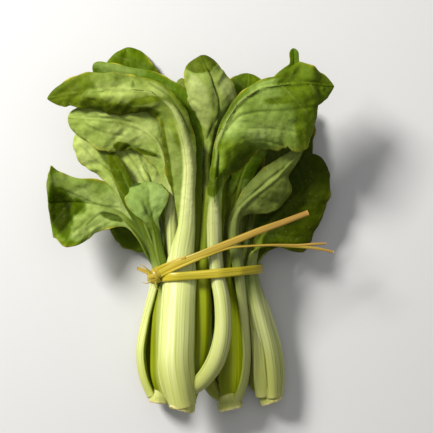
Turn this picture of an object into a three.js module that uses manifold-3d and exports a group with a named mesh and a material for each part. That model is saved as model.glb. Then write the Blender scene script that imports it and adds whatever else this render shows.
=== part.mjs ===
// A tied bunch of bok choy, lying on a table: four cut heads side by side, their pale stalks gathered
// by a strip of dry straw, and their green blades fanned out beyond it.
// Millimetres, +Z up. The bunch lies along Y with the cut ends at -Y and the blades at +Y.
// It rests on z = 0. Each head is one solid, because its stalks grow out of one stem base.
// Each blade is a solid of its own colour, and the straw, with its loop, knot and long ends, is one more.

import * as THREE from "three";
import { mergeVertices } from "three/addons/utils/BufferGeometryUtils.js";
import Module from "manifold-3d";

const wasm = await Module();
wasm.setup();

// Driving dimensions
const CLEARANCE = 0.3; // between pieces that touch
const BLADE_THICKNESS = 0.9;
const STALK_EDGE = 1.7; // thickness of a stalk at its two thin edges
const TIP_RIB = 1.3; // thickness of the midrib at the tip
const TIP_RIB_HALF_WIDTH = 1;
const TIE_Y = -33.5; // where the straw crosses the bundle
const STALK_STEP = 23; // sampling along a stalk
const BLADE_STEP = 18; // and along a blade
const RUFFLE_LENGTH = 44; // one wave of a blade's margin
const CUT_LENGTH = 4.6; // from the foot of the stalks to the cut face
const CENTRING = [0.5, 0, 0]; // brings the middle of the whole bunch over the origin
const STRAW = { wide: 6.6, thick: 1.4, slant: 0.08 };
const ROUND_STEPS = 24; // stations round the bundle

// The loose ends of the straw, from the knot outward: x, y, z, width, thickness
const KNOT = [-25.5, -34.5, 44];
const ENDS = {
  thick: [
    [-29, -36, 43.5, 5, 2], [-20, -31.6, 48.5, 5.4, 2], [-8.2, -25.2, 52.6, 5.4, 2],
    [6.8, -19.3, 55.4, 5.6, 2], [21.8, -13.1, 56.6, 5.6, 2], [36.8, -7, 55.6, 5.4, 2],
    [51.8, -1, 53.6, 5, 1.8], [66.8, 4.3, 51, 4.6, 1.7], [86.8, 11.8, 47, 4, 1.6],
  ],
  thin: [
    [-24, -36, 46.5, 2.2, 1.6], [-8, -28.4, 53.4, 2.2, 1.6], [10, -20.6, 56, 2.2, 1.5],
    [27.8, -14.2, 56.4, 2, 1.4], [44, -12.6, 54.5, 1.6, 1.3], [62, -12, 52, 1.8, 1.3],
    [80, -12.2, 49.4, 2, 1.2], [92, -11.3, 47.6, 2, 1.2], [100, -11, 46.4, 1.6, 1],
  ],
  split: [
    [62, -12.4, 51.6, 1.6, 1.2], [80, -13.4, 49.2, 1.8, 1.2], [93, -14.6, 47.2, 2.2, 1.2],
    [105.6, -17.2, 45.2, 1.8, 1],
  ],
  second: [
    [-27, -31, 44.5, 3, 1.6], [-20, -27.6, 48.6, 3, 1.6], [-10, -23.4, 52, 2.8, 1.4],
    [-3.5, -21, 54.6, 2.4, 1.2],
  ],
  short: [[-22, -36.5, 45.5, 3.6, 1.6], [-30, -33, 45.2, 3.2, 1.5], [-39.5, -29.2, 43.6, 2.6, 1.4]],
};
// The turns of the knot: radius along the bundle, radius in height, width, and the way it leans in degrees
const TURNS = [[6, 4, 5.4, 25], [5.6, 4.6, 4, 78], [5, 5, 3, -28]];

// A stalk's distance from the axis of its head, half-width and depth of curl, at distances up from its foot
const RINGS = {
  outer: {
    thickness: 4.4,
    rows: [[0, 7.2, 7.2, 3.2], [15, 11.2, 8.8, 3.6], [35, 12.6, 9.2, 3.6], [62, 10.4, 7.8, 2.6]],
  },
  inner: {
    thickness: 3,
    rows: [[0, 3.6, 4.4, 1.6], [15, 7.2, 6.4, 2.4], [35, 8.4, 7, 2.6], [62, 7, 5.8, 1.8]],
  },
  heart: {
    thickness: 2.4,
    rows: [[0, 0.4, 2.4, 0.6], [13, 1.2, 3, 0.8], [33, 1.4, 3.6, 1], [60, 1.4, 3.4, 0.8]],
  },
};

// Each head: how stout it is, how its cut face slants in degrees,
// and its axis from the foot of the stalks to the tie
const HEADS = {
  left: {
    girth: 0.92, slant: -6,
    axis: [[-23.5, -128, 14.5], [-27, -105, 13.6], [-26.5, -80, 16.5], [-22, -55, 21.5], [-17, TIE_Y, 25]],
  },
  front: {
    girth: 1, slant: -17,
    axis: [[-6, -130, 41], [-9.5, -108, 41.5], [-8, -80, 40.5], [-4, -55, 40], [0, TIE_Y, 41]],
  },
  middle: {
    girth: 1, slant: 13,
    axis: [[29, -132.5, 17], [29, -108, 16.4], [27, -80, 18.5], [23, -55, 21], [18, TIE_Y, 23]],
  },
  right: {
    girth: 0.88, slant: 20,
    axis: [[60, -128, 14], [57, -104, 13], [53, -80, 16], [46.5, -55, 21.5], [40, TIE_Y, 25]],
  },
};

// Every leaf. "out" is the way its back faces round the axis of its head, in degrees from +Z towards +X.
// stalk rows: x, y, z, out, half-width, depth of curl. tie: x, z, out, half-width, depth.
// neck rows: as stalk.
// blade rows: midrib x, y, z, then width and rise of the margin on the left and on the right, seen from above
// along the growth. An eighth value folds a wing: [side, distance out, rise] of the middle of that wing.
// A ninth turns the row about +Z in degrees, so that the rows of a sharp bend spread out like a fan.
// taper is the power by which the midrib narrows along its blade; the smaller it is, the sooner it is thin.
// bluntness shapes the tip: 2 is a round tip and 1 a straight-sided point.
const LEAVES = [
  {
    name: "front_leaf_a", head: "front", ring: "outer", up: "back", ruffle: 1.2, taper: 0.7, bluntness: 1.4,
    stalk: [
      [-5.5, -132, 47.5, 0, 9.4, 4.4], [-9, -114, 51.5, -3, 12, 6], [-11, -98, 53.5, -4, 13, 6],
      [-10.5, -76, 53, -5, 13, 5.4], [-9.5, -53, 50.6, -6, 12.4, 4.6],
    ],
    tie: [-8, 47.4, -6, 11.8, 3.6],
    neck: [[-6, -15, 49.5, -8, 8.6, 2.2], [-3, 3, 53, -8, 6.2, 1.4]],
    blade: [
      [-1.5, 25, 57, 12, -4, 4.5, -1], [-0.8, 47, 61, 17, -5, 5.5, -2], [-4.5, 68, 65, 17, -7, 7, -3],
      [-12.5, 87, 68, 12, -8, 8, -3], [-27, 97.5, 69, 14, -9, 9, -2, ["left", 7, 0]],
      [-49, 100.5, 67, 15.5, -9, 11.5, 0, ["left", 7, 0]],
      [-72, 99.5, 64, 12.5, -6, 14, 1, ["left", 6, 0]], [-89, 98, 60, 8, -4, 10, 0],
    ],
    tip: [-104.5, 95.5, 55],
  },
  {
    name: "front_leaf_b", head: "front", ring: "outer", up: "back", ruffle: 0.3, bluntness: 1.3,
    stalk: [
      [0, -121, 40, 50, 5.8, 3.2], [9, -114, 46, 36, 6.8, 3.4], [18, -101, 50, 26, 7.2, 3.2],
      [23, -86, 51.5, 20, 6.7, 3], [24.8, -70, 51.6, 16, 6.2, 2.8], [23.6, -52, 50.6, 13, 5.7, 2.4],
    ],
    tie: [20, 48.4, 10, 5.2, 2],
    neck: [[18, -15, 51, 5, 5.2, 1.8], [17.4, 4, 54, 0, 5.2, 1.6]],
    blade: [
      [17.2, 22, 57, 5.4, -1, 6, -1], [17.6, 36, 60, 3.8, -1, 8, -5, ["right", 4, 0]],
      [19.2, 50, 63, 3.4, -1, 19, -13, ["right", 9, 0.5]],
      [22.6, 66, 66, 3.4, -1, 30, -17, ["right", 14, 1]],
      [28.5, 81, 68.5, 4, -1, 37.5, -14, ["right", 20, -1], -7],
      [38, 93, 70, 4.6, -1, 44, -14, null, -2.5], [52, 101.5, 70.5, 5.6, -1, 47, -14, null, 4],
      [67, 104, 69.5, 8, 1, 48, -13, null, 4.5], [80, 105, 67.5, 16, -5, 46, -12, null, 2],
      [89, 105.3, 64.5, 12, 2, 39, -10], [94, 105, 63, 8, -2, 15, -5],
    ],
    tip: [104.6, 104, 59],
  },
  {
    name: "front_leaf_c", head: "front", ring: "outer", out: -112, up: "back", ruffle: 1.8,
    tie: [-13, 38.6, -60, 6, 2],
    neck: [[-14, -15, 40.5, -35, 5.4, 1.6], [-15, 5, 44, -20, 4.8, 1.2]],
    blade: [
      [-14, 25, 46.5, 5, -2, 5, -1], [-18, 47, 49, 8, -3, 9, -1], [-26, 66, 51.5, 15, -5, 13, -1],
      [-42, 76, 54, 20, -6, 14, 0], [-60, 79, 54, 21, -6, 14, -1], [-76, 80.5, 52, 15, -5, 9, -1],
    ],
    tip: [-90, 82, 49],
  },
  {
    name: "front_leaf_d", head: "front", ring: "outer", out: 140, up: "face", ruffle: 1.4,
    tie: [14, 35.6, 160, 5.6, 1.8],
    neck: [[18, -14, 35.4, 175, 5, 1.4], [21, 8, 34.6, 180, 4.6, 1]],
    blade: [
      [24, 28, 34, 8, 1, 8, 1], [31, 58, 33.4, 18, 2, 18, 2], [37, 81, 33.6, 20, 2, 20, 2],
      [41, 100, 32, 16, 1, 17, 1],
    ],
    tip: [43, 116, 29.5],
  },
  {
    name: "front_leaf_e", head: "front", ring: "inner", up: "back", ruffle: 1,
    stalk: [
      [-1, -129, 40, 10, 4, 1.6], [3, -112, 42, 10, 5.8, 2], [7.5, -92, 43, 8, 6.8, 2.4],
      [9, -60, 43, 4, 6.4, 2.2],
    ],
    tie: [8.8, 42, 2, 5.2, 1.6],
    neck: [[10.5, -15, 44.5, 0, 4.4, 1.2], [12, 8, 48, 0, 3.8, 1]],
    blade: [
      [13.2, 32, 51, 3.4, -1, 3.4, -1], [13.5, 54, 54, 4, -1, 3.6, -1], [16.4, 69.5, 57, 8, -3, 4, -3],
      [19.4, 83, 59.5, 15, -4, 6, -5, ["left", 9, 2]],
      [19.6, 95, 60.5, 21, -5, 13, -6, ["left", 12, 2]],
      [16.2, 107, 60, 21, -5, 12, -6, ["left", 12, 2]], [11.6, 116.5, 58, 16, -3, 9, -4],
    ],
    tip: [7.4, 126.6, 54.5],
  },
  {
    name: "front_leaf_f", head: "front", ring: "inner", out: 212, up: "face", ruffle: 1.4,
    tie: [0.6, 40.4, 182, 3.8, 1],
    neck: [[3.4, -15, 42.4, 180, 3.8, 1], [5, 10, 46, 180, 3.4, 0.8]],
    blade: [
      [4.6, 40, 50, 4, 1, 4, 1], [2, 68, 53.5, 5.5, 1, 7, 1], [-6, 90, 53, 7, -1, 11, 2],
      [-20, 102, 52, 9, -3, 9, 1], [-36, 109, 50, 10, -3, 9, 0], [-52, 114, 48, 10, -3, 6.5, -1],
      [-63, 118, 46.5, 8, -3, 5, -1],
    ],
    tip: [-72, 121, 45],
  },
  {
    name: "left_leaf_a", head: "left", ring: "outer", out: -92, up: "back", ruffle: 1.4,
    tie: [-26.4, 31.5, -80, 5.8, 1.8],
    neck: [[-29, -16, 34, -70, 5, 1.6], [-36.5, 0, 38, -55, 4.6, 1.4], [-45.5, 17, 41.5, -40, 4.4, 1]],
    blade: [
      [-53, 32, 43.5, 5, -2, 5, 1], [-62, 47, 44, 11, -4, 7, 1], [-70.5, 58.5, 44, 14, -4, 9, 0],
      [-77.5, 66, 43.5, 11, -3, 9, -1],
    ],
    tip: [-83.5, 72, 42],
  },
  {
    name: "left_leaf_b", head: "left", ring: "inner", up: "back", ruffle: 1,
    stalk: [
      [-20.5, -126.5, 19.5, 5, 4.6, 2], [-23.8, -112, 21.6, 3, 6, 2.4], [-24, -93, 22.6, 0, 6.4, 2.4],
      [-23, -64, 28, -8, 5.6, 2],
    ],
    tie: [-20.4, 38, -40, 4.8, 1.4],
    neck: [[-24, -16, 42.5, -30, 4, 1.2], [-26, -3, 47.5, -15, 3.6, 1]],
    blade: [
      [-29, 6.5, 50.8, 5, 1, 6, 1], [-30.8, 15.5, 52.8, 14, -1, 13, 0],
      [-31.5, 23.5, 53.2, 17, -2.5, 15, -1], [-32, 29.5, 51.4, 14, -2.5, 12, -2],
    ],
    tip: [-33, 34, 48.6],
  },
  {
    name: "left_leaf_c", head: "left", ring: "outer", out: 178, up: "face", ruffle: 1.2,
    tie: [-17.5, 13.8, 190, 6.4, 2.2],
    neck: [[-24, -17, 12, 185, 5.4, 1.6]],
    blade: [
      [-37, -8, 11.5, 12, -3, 8, 1], [-48, 0, 12, 13, -4, 16, 2], [-59, 9, 12, 10, -3, 18, 2],
      [-68, 17, 11, 8, -2, 14, 1],
    ],
    tip: [-77, 25, 9],
  },
  {
    name: "left_leaf_d", head: "left", ring: "inner", out: -125, up: "face", ruffle: 1.8,
    tie: [-25.6, 21.6, -120, 5, 1.6],
    neck: [[-31, -18, 22.5, -145, 4.8, 1.4], [-38, -4, 25.5, -165, 4.4, 1]],
    blade: [
      [-46.5, 5, 28, 5, 1, 5, 1], [-57, 12.5, 29, 14, 2, 21, 3], [-70.5, 17.5, 28.5, 28, 8, 18, 4],
      [-84, 19.5, 29, 33, 11, 19, 7], [-95, 19.5, 31, 32, 11, 22, 9], [-101.5, 19, 33.5, 25, 9, 28, 9],
    ],
    tip: [-106, 19, 37],
  },
  {
    name: "left_leaf_e", head: "left", ring: "outer", out: 92, up: "back", ruffle: 1.2,
    tie: [-12.4, 31.2, 20, 5.4, 1.6],
    neck: [[-15.5, -15, 35.5, 5, 4.6, 1.2], [-17, 1, 38.5, 0, 4.4, 1]],
    blade: [
      [-21, 15.5, 40, 4.4, -1, 4.4, -1], [-28, 29, 41, 8, -2, 8, -1],
      [-34.5, 42.5, 41.6, 15, -4, 13, -1], [-39, 55, 42.4, 18, -4, 15, -1],
      [-43.5, 68, 42.4, 17, -3, 13, -1],
    ],
    tip: [-47, 79, 40.6],
  },
  {
    name: "left_leaf_f", head: "left", ring: "heart", out: -30, up: "face", ruffle: 0.8,
    tie: [-23.4, 29, 150, 3.4, 1],
    neck: [[-28, -15, 37, 140, 3, 0.9], [-34.4, 3, 43, 150, 2.8, 0.8]],
    blade: [
      [-41.5, 20, 45.4, 4, 1, 3, 0], [-47.5, 33, 46.8, 6, 1.4, 4.6, 0],
      [-52, 43, 47.2, 6.6, 1.4, 4.6, 0], [-56, 50, 46.6, 5, 1, 4, 0],
    ],
    tip: [-60, 57, 45],
  },
  {
    name: "middle_leaf_a", head: "middle", ring: "outer", up: "face", ruffle: 1.6,
    stalk: [
      [29, -133, 10.4, 180, 8.6, 4], [29, -116, 4.8, 180, 12, 6], [29, -97, 2.6, 180, 12.6, 6],
      [26.5, -70, 6.2, 180, 11, 4.6],
    ],
    tie: [22, 11.4, 180, 8.4, 2.8],
    neck: [[26, -14, 10.6, 180, 6.6, 2], [30, 4, 10, 180, 5.6, 1.4]],
    blade: [
      [34, 25, 10, 14, 2, 14, 2], [40, 50, 9, 24, 2, 24, 2], [45, 75, 6, 24, 1, 24, 1],
      [48, 92, 2.6, 17, 0, 17, 0],
    ],
    tip: [50, 110, 0.5],
  },
  {
    name: "middle_leaf_b", head: "middle", ring: "outer", up: "back", ruffle: 1, bluntness: 1.4,
    stalk: [
      [34.5, -131, 19, 70, 5, 2], [40, -115, 20.5, 82, 6, 2.2], [41.8, -97, 22.5, 86, 6.4, 2.2],
      [41, -78, 26, 84, 6, 2], [38.8, -55, 34, 70, 5.4, 2],
    ],
    tie: [36.4, 43.4, 50, 5, 1.8],
    neck: [[33.6, -15, 45, 30, 4.8, 1.6], [31.6, -2, 45.5, 15, 4.4, 1.2]],
    blade: [
      [34, 10, 45.5, 4.4, -1, 4.4, -1], [40.5, 19, 45.5, 6, 0, 10, -5], [53, 29, 46, 12, 0, 19, -8],
      [64, 38, 45.5, 10.5, -1, 14, -8], [69, 43.5, 45, 9, -1, 5, -3], [77, 52, 44, 6, -2, 3, -2],
    ],
    tip: [83, 59, 42],
  },
  {
    name: "middle_leaf_c", head: "middle", ring: "outer", up: "face", ruffle: 1.6,
    stalk: [
      [24, -130, 14.5, -60, 5.6, 2.4], [16, -123.5, 15, -50, 6.6, 3], [10.5, -111, 16, -55, 6.8, 3],
      [9, -90, 17, -70, 6.6, 2.8], [7, -62, 17, -110, 6.4, 2.4],
    ],
    tie: [3.4, 15.6, 205, 6.6, 2.2],
    neck: [[0, -14, 12.6, 185, 6, 1.6], [-5, 6, 11, 180, 5, 1]],
    blade: [
      [-12, 28, 10.5, 12, 2, 12, 2], [-20, 52, 9.5, 21, 2, 22, 2], [-28, 78, 6, 21, 1, 22, 1],
      [-38, 104, 3.6, 20, 0, 20, 0], [-47, 122, 2.6, 22, 1, 15.5, 1],
    ],
    tip: [-51, 138.5, 1],
  },
  {
    name: "middle_leaf_d", head: "middle", ring: "inner", up: "face", ruffle: 1,
    stalk: [
      [29, -129, 19, 180, 6, 2], [29.5, -114, 22.5, 182, 9, 3], [29.5, -97, 24, 183, 9.8, 3.2],
      [29, -76, 26, 183, 8.8, 2.8], [27.5, -53, 28.8, 182, 6.8, 2.2],
    ],
    tie: [25.4, 31, 180, 4.8, 1.4],
    neck: [[28, -8, 31.6, 180, 4.4, 1.2], [32, 17, 33, 180, 4.4, 1]],
    blade: [
      [37, 38, 37, 7, 0, 8, 0], [46, 58, 41.5, 11, 1, 11, 1], [57, 78, 47.5, 12, 0, 12, 0],
      [68, 99, 55, 13, 0, 12, 0], [74.4, 113, 60, 9, 0, 8, 0], [75.6, 120, 62, 3.4, 1, 3.6, 1],
      [75.4, 127, 62.5, 3.4, 1, 3.6, 1],
    ],
    tip: [75, 131, 62],
  },
  {
    name: "middle_leaf_e", head: "middle", ring: "inner", out: -100, up: "back", ruffle: 1,
    tie: [4.6, 27.2, -15, 5, 1.6],
    neck: [[5, -15, 31, -5, 4, 1.2], [5.4, 8, 37, 0, 3.6, 1]],
    blade: [
      [5.4, 30, 42, 3.4, -1, 3.4, -1], [3.6, 58, 45.5, 4.4, -1, 4.4, -1],
      [0.8, 82, 46.5, 7, -1, 6, -1], [-2.5, 97, 46, 9, -1, 7, -1],
    ],
    tip: [-7, 111, 43],
  },
  {
    name: "middle_leaf_f", head: "middle", ring: "heart", out: -50, up: "face", ruffle: 0.8,
    tie: [17.4, 23.4, 180, 4, 1],
    neck: [[16.5, -12, 24, 180, 3.8, 1]],
    blade: [[17, 8, 25.5, 6, 1, 6, 1], [18.5, 28, 26.5, 9, 1, 9, 1], [20, 45, 26, 7, 0, 7, 0]],
    tip: [21, 57, 25],
  },
  {
    name: "right_leaf_a", head: "right", ring: "outer", out: 18, up: "face", ruffle: 1.8,
    tie: [45.6, 37, 35, 5.8, 1.8],
    neck: [[47.5, -18, 34, 90, 5, 1.4]],
    blade: [
      [51.5, -6, 30.5, 6, 1, 15, -1], [61, 5, 27.5, 18, 2, 31, -3], [74, 17.5, 25.5, 26, 3, 29, -3],
      [86, 32, 24.5, 24, 3, 20, -3], [93.5, 44, 23.5, 18, 2, 12, -2],
    ],
    tip: [95.5, 55, 22],
  },
  {
    name: "right_leaf_b", head: "right", ring: "outer", out: 108, up: "face", ruffle: 1.2,
    tie: [47, 20, 125, 5.6, 1.8],
    neck: [[50.5, -19, 15.5, 160, 5.4, 1.4]],
    blade: [
      [56, -9, 13, 9, 1, 10, -1], [66, 2, 11, 15, 1, 16, -1], [79, 14, 9.5, 17, 1, 17, -1],
      [90, 26, 8, 13, 0, 13, -1],
    ],
    tip: [99, 36, 5],
  },
  {
    name: "right_leaf_c", head: "right", ring: "outer", out: 186, up: "face", ruffle: 1,
    tie: [38.6, 11.6, 180, 6.4, 2],
    neck: [[46, -14, 8, 180, 5.6, 1.4], [52, 2, 6, 180, 5, 1]],
    blade: [
      [60, 20, 4.4, 12, 0, 12, 0], [70, 42, 3.6, 20, 0, 19, 0], [77, 62, 2.6, 18, 0, 18, 0],
      [82, 78, 1.4, 12, 0, 12, 0],
    ],
    tip: [86, 90, 0.4],
  },
  {
    name: "right_leaf_d", head: "right", ring: "inner", up: "back", ruffle: 1.2,
    stalk: [
      [56, -126.5, 11, -80, 4.8, 2], [48, -121.5, 11, -62, 6, 2.4], [45, -110, 11.5, -60, 6.2, 2.6],
      [45, -90, 14, -60, 6, 2.4], [42, -62, 20, -40, 5.6, 2],
    ],
    tie: [38.4, 27, 20, 5, 1.6],
    neck: [[42, -14, 25.5, 10, 4.6, 1.2], [46, 4, 21.5, 0, 4.4, 1]],
    blade: [
      [52, 24, 18.5, 9, -1, 9, -1], [62, 46, 17.5, 16, -2, 16, -1], [72, 68, 17, 16, -2, 16, -1],
      [79, 84, 16.5, 10, -1, 10, -1],
    ],
    tip: [84, 96, 15],
  },
  {
    name: "right_leaf_e", head: "right", ring: "outer", up: "back", ruffle: 1,
    stalk: [
      [53, -127.5, 19, -45, 6, 2.4], [50.5, -112, 20.5, -60, 7.6, 3], [49, -93, 21.5, -66, 7.8, 3],
      [45.5, -68, 23, -64, 6.6, 2.4],
    ],
    tie: [30.4, 22, -30, 4.8, 1.4],
    neck: [[33.5, -12, 23, 0, 4.6, 1.2]],
    blade: [
      [36, 12, 24, 7, -1, 7, -1], [39.5, 36, 25, 12, -1, 12, -1], [43, 60, 25, 12, -1, 12, -1],
      [45.5, 78, 24, 8, -1, 8, -1],
    ],
    tip: [47, 90, 23],
  },
];

// Vectors
const v3 = (x, y, z) => new THREE.Vector3(x, y, z);
const outward = (degrees) => {
  const a = THREE.MathUtils.degToRad(degrees);
  return v3(Math.sin(a), 0, Math.cos(a));
};
const spline = (points) => new THREE.CatmullRomCurve3(points, false, "centripetal");

// The point where a head's axis passes height y along the bunch
function onAxis(head, y) {
  const points = head.axis.map((p) => v3(...p));
  const curve = spline(points);
  let low = 0;
  let high = 1;
  for (let i = 0; i < 24; i++) {
    const middle = (low + high) / 2;
    if (curve.getPoint(middle).y < y) low = middle;
    else high = middle;
  }
  return curve.getPoint(low);
}

// The rows of a leaf, from its foot to the last row before its tip. A row holds five points across the leaf,
// its rib's half-width and thickness, and the thickness of its margin.
function rowsOf(leaf) {
  const head = HEADS[leaf.head];
  const ring = RINGS[leaf.ring];
  const stalk = leaf.stalk
    ?? ring.rows.map(([up, radius, half, depth]) => {
      const centre = onAxis(head, head.axis[0][1] + up);
      const place = centre.addScaledVector(outward(leaf.out), radius * head.girth);
      return [place.x, place.y, place.z, leaf.out, half * head.girth, depth * head.girth];
    });
  const [tieX, tieZ, tieOut, tieHalf, tieDepth] = leaf.tie;
  const stems = [...stalk, [tieX, TIE_Y, tieZ, tieOut, tieHalf, tieDepth], ...leaf.neck];
  const spine = [...stems, ...leaf.blade, leaf.tip].map(([x, y, z]) => v3(x, y, z));
  const along = (i) => {
    const next = spine[Math.min(i + 1, spine.length - 1)];
    return next.clone().sub(spine[Math.max(i - 1, 0)]).normalize();
  };

  const rows = stems.map(([, , , out, half, depth], i) => {
    const side = along(i).cross(outward(out)).normalize();
    const back = side.clone().cross(along(i));
    const at = (u) => spine[i].clone().addScaledVector(side, u * half).addScaledVector(back, -depth * u * u);
    const share = i / (stems.length + leaf.blade.length);
    return {
      points: [at(-1), at(-0.5), at(0), at(0.5), at(1)],
      rib: half,
      thick: ring.thickness * (1 - 0.45 * share),
      edge: STALK_EDGE + (BLADE_THICKNESS - STALK_EDGE) * share,
    };
  });
  const firstRib = stems[stems.length - 1][4];
  const firstThick = rows[rows.length - 1].thick;
  leaf.blade.forEach(([, , , left, leftRise, right, rightRise, fold, lean = 0], k) => {
    const i = stems.length + k;
    const ahead = along(i).setZ(0).normalize();
    const toRight = v3(ahead.y, -ahead.x, 0).applyAxisAngle(v3(0, 0, 1), THREE.MathUtils.degToRad(lean));
    const place = (out, rise) => spine[i].clone().addScaledVector(toRight, out).add(v3(0, 0, rise));
    const arch = (width, rise) => [width / 2, rise / 2 + 0.09 * Math.abs(width)];
    let [leftOut, leftMid] = arch(left, leftRise);
    let [rightOut, rightMid] = arch(right, rightRise);
    if (fold && fold[0] === "left") [, leftOut, leftMid] = fold;
    if (fold && fold[0] === "right") [, rightOut, rightMid] = fold;
    const points = [
      place(-left, leftRise), place(-leftOut, leftMid), spine[i],
      place(rightOut, rightMid), place(right, rightRise),
    ];
    if (leaf.up === "face") points.reverse();
    const share = (k + 1) / (leaf.blade.length + 1);
    rows.push({
      points,
      rib: firstRib + (TIP_RIB_HALF_WIDTH - firstRib) * share ** (leaf.taper ?? 0.3),
      thick: firstThick + (TIP_RIB - firstThick) * share,
      edge: BLADE_THICKNESS,
    });
  });
  return { rows, stems: stems.length, tip: v3(...leaf.tip) };
}

// Samples the rows between two of them, and past the last one to the tip if asked, as rows of the same form
function sampled({ leaf, rows, tip }, first, last, step, toTip) {
  const columns = [0, 1, 2, 3, 4].map((c) => spline(rows.map((r) => r.points[c])));
  const count = rows.length - 1;
  const mix = (key, i, t) => rows[i][key] + (rows[Math.min(i + 1, count)][key] - rows[i][key]) * t;
  const at = (i, t) => ({
    points: columns.map((c) => c.getPoint((i + t) / count)),
    rib: mix("rib", i, t),
    thick: mix("thick", i, t),
    edge: mix("edge", i, t),
  });
  const made = [];
  for (let i = first; i < last; i++) {
    const gap = rows[i].points[2].distanceTo(rows[i + 1].points[2]);
    const steps = Math.max(1, Math.round(gap / step));
    for (let s = 0; s < steps; s++) made.push(at(i, s / steps));
  }
  made.push(at(last, 0));
  if (toTip) {
    const end = rows[last];
    const power = leaf.bluntness ?? 2;
    for (const t of [0.55, 0.85, 1]) {
      const narrow = Math.max(0.2, (1 - t ** power) ** (1 / power));
      const middle = end.points[2].clone().lerp(tip, t);
      made.push({
        points: end.points.map((p) => middle.clone().addScaledVector(p.clone().sub(end.points[2]), narrow)),
        rib: TIP_RIB_HALF_WIDTH,
        thick: TIP_RIB,
        edge: BLADE_THICKNESS,
      });
    }
  }
  return made;
}

// A point on a wing: the curve through the midrib, the middle of the wing and its margin
function onWing(middle, half, margin, t) {
  return middle.clone().multiplyScalar((1 - t) * (1 - 2 * t))
    .addScaledVector(half, 4 * t * (1 - t))
    .addScaledVector(margin, t * (2 * t - 1));
}

// The rows with the first and the last moved outward along the leaf
function lengthened(rows, by) {
  const moved = (row, next) => {
    const shift = row.points[2].clone().sub(next.points[2]).setLength(by);
    return { ...row, points: row.points.map((p) => p.clone().add(shift)) };
  };
  const last = rows.length - 1;
  return [moved(rows[0], rows[1]), ...rows.slice(1, last), moved(rows[last], rows[last - 1])];
}

// A closed solid round a sheet of sampled rows.
// grow swells it on every side, for the room that its neighbours leave.
function sheetSolid(given, perSide, ruffle, phase, grow = 0) {
  const rows = grow > 0 ? lengthened(given, grow) : given;
  const travelled = [0];
  for (let i = 1; i < rows.length; i++) {
    travelled.push(travelled[i - 1] + rows[i].points[2].distanceTo(rows[i - 1].points[2]));
  }
  const grid = rows.map((row, i) => {
    const [L, l, M, r, R] = row.points;
    const line = [];
    for (let k = -perSide; k <= perSide; k++) {
      const [half, margin] = k < 0 ? [l, L] : [r, R];
      const reach = half.distanceTo(M) + margin.distanceTo(half);
      const ribShare = Math.min(0.32, row.rib / reach);
      const step = Math.abs(k) / perSide;
      const t = k === 0 ? 0 : ribShare + ((1 - ribShare) * (Math.abs(k) - 1)) / (perSide - 1);
      const point = onWing(M, half, margin, t);
      const outside = margin.clone().sub(M).normalize();
      if (step === 1) point.addScaledVector(outside, grow);
      const across = Math.min(1, (t * reach) / row.rib);
      const thick = row.edge + (row.thick - row.edge) * (1 - across * across);
      line.push({ point, t, thick, edge: row.edge });
    }
    return line;
  });
  const columns = 2 * perSide + 1;
  const { clamp } = THREE.MathUtils;
  const pointAt = (i, c) => grid[clamp(i, 0, rows.length - 1)][clamp(c, 0, columns - 1)].point;
  const normalAt = (i, c) => {
    const ahead = pointAt(i + 1, c).clone().sub(pointAt(i - 1, c));
    const aside = pointAt(i, c + 1).clone().sub(pointAt(i, c - 1));
    return aside.cross(ahead).normalize();
  };
  const backs = [];
  const faces = [];
  grid.forEach((line, i) => line.forEach((cell, c) => {
    const normal = normalAt(i, c);
    const start = phase + (c < perSide ? 2 : 0);
    const wave = ruffle * cell.t ** 2 * Math.sin((2 * Math.PI * travelled[i]) / RUFFLE_LENGTH + start);
    const point = cell.point.clone().addScaledVector(normal, wave);
    backs.push(point.clone().addScaledVector(normal, cell.thick - cell.edge / 2 + grow));
    faces.push(point.clone().addScaledVector(normal, -cell.edge / 2 - grow));
  }));
  const index = [];
  const quad = (a, b, c, d) => index.push(a, b, c, a, c, d);
  const back = (i, c) => i * columns + c;
  const face = (i, c) => backs.length + i * columns + c;
  for (let i = 0; i + 1 < rows.length; i++) {
    for (let c = 0; c + 1 < columns; c++) {
      quad(back(i, c), back(i, c + 1), back(i + 1, c + 1), back(i + 1, c));
      index.push(face(i, c), face(i + 1, c + 1), face(i, c + 1));
      index.push(face(i, c), face(i + 1, c), face(i + 1, c + 1));
    }
    quad(face(i, 0), back(i, 0), back(i + 1, 0), face(i + 1, 0));
    quad(back(i, columns - 1), face(i, columns - 1), face(i + 1, columns - 1), back(i + 1, columns - 1));
  }
  const end = rows.length - 1;
  for (let c = 0; c + 1 < columns; c++) {
    quad(face(0, c), face(0, c + 1), back(0, c + 1), back(0, c));
    quad(back(end, c), back(end, c + 1), face(end, c + 1), face(end, c));
  }
  return solidFrom([...backs, ...faces], index);
}

// Solids and meshes
function solidFrom(points, index) {
  return new wasm.Manifold(new wasm.Mesh({
    numProp: 3,
    vertProperties: new Float32Array(points.flatMap((p) => [p.x, p.y, p.z])),
    triVerts: new Uint32Array(index),
  }));
}

function solidOf(geometry) {
  const bare = geometry.clone();
  bare.deleteAttribute("normal");
  bare.deleteAttribute("uv");
  const merged = mergeVertices(bare, 1e-4);
  return new wasm.Manifold(new wasm.Mesh({
    numProp: 3,
    vertProperties: merged.attributes.position.array,
    triVerts: new Uint32Array(merged.index.array),
  }));
}

// The largest closed body of a solid: sealed hollows are filled and loose scraps are dropped
function oneBody(solid) {
  return solid.decompose().reduce((best, body) => (body.volume() > best.volume() ? body : best));
}

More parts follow.
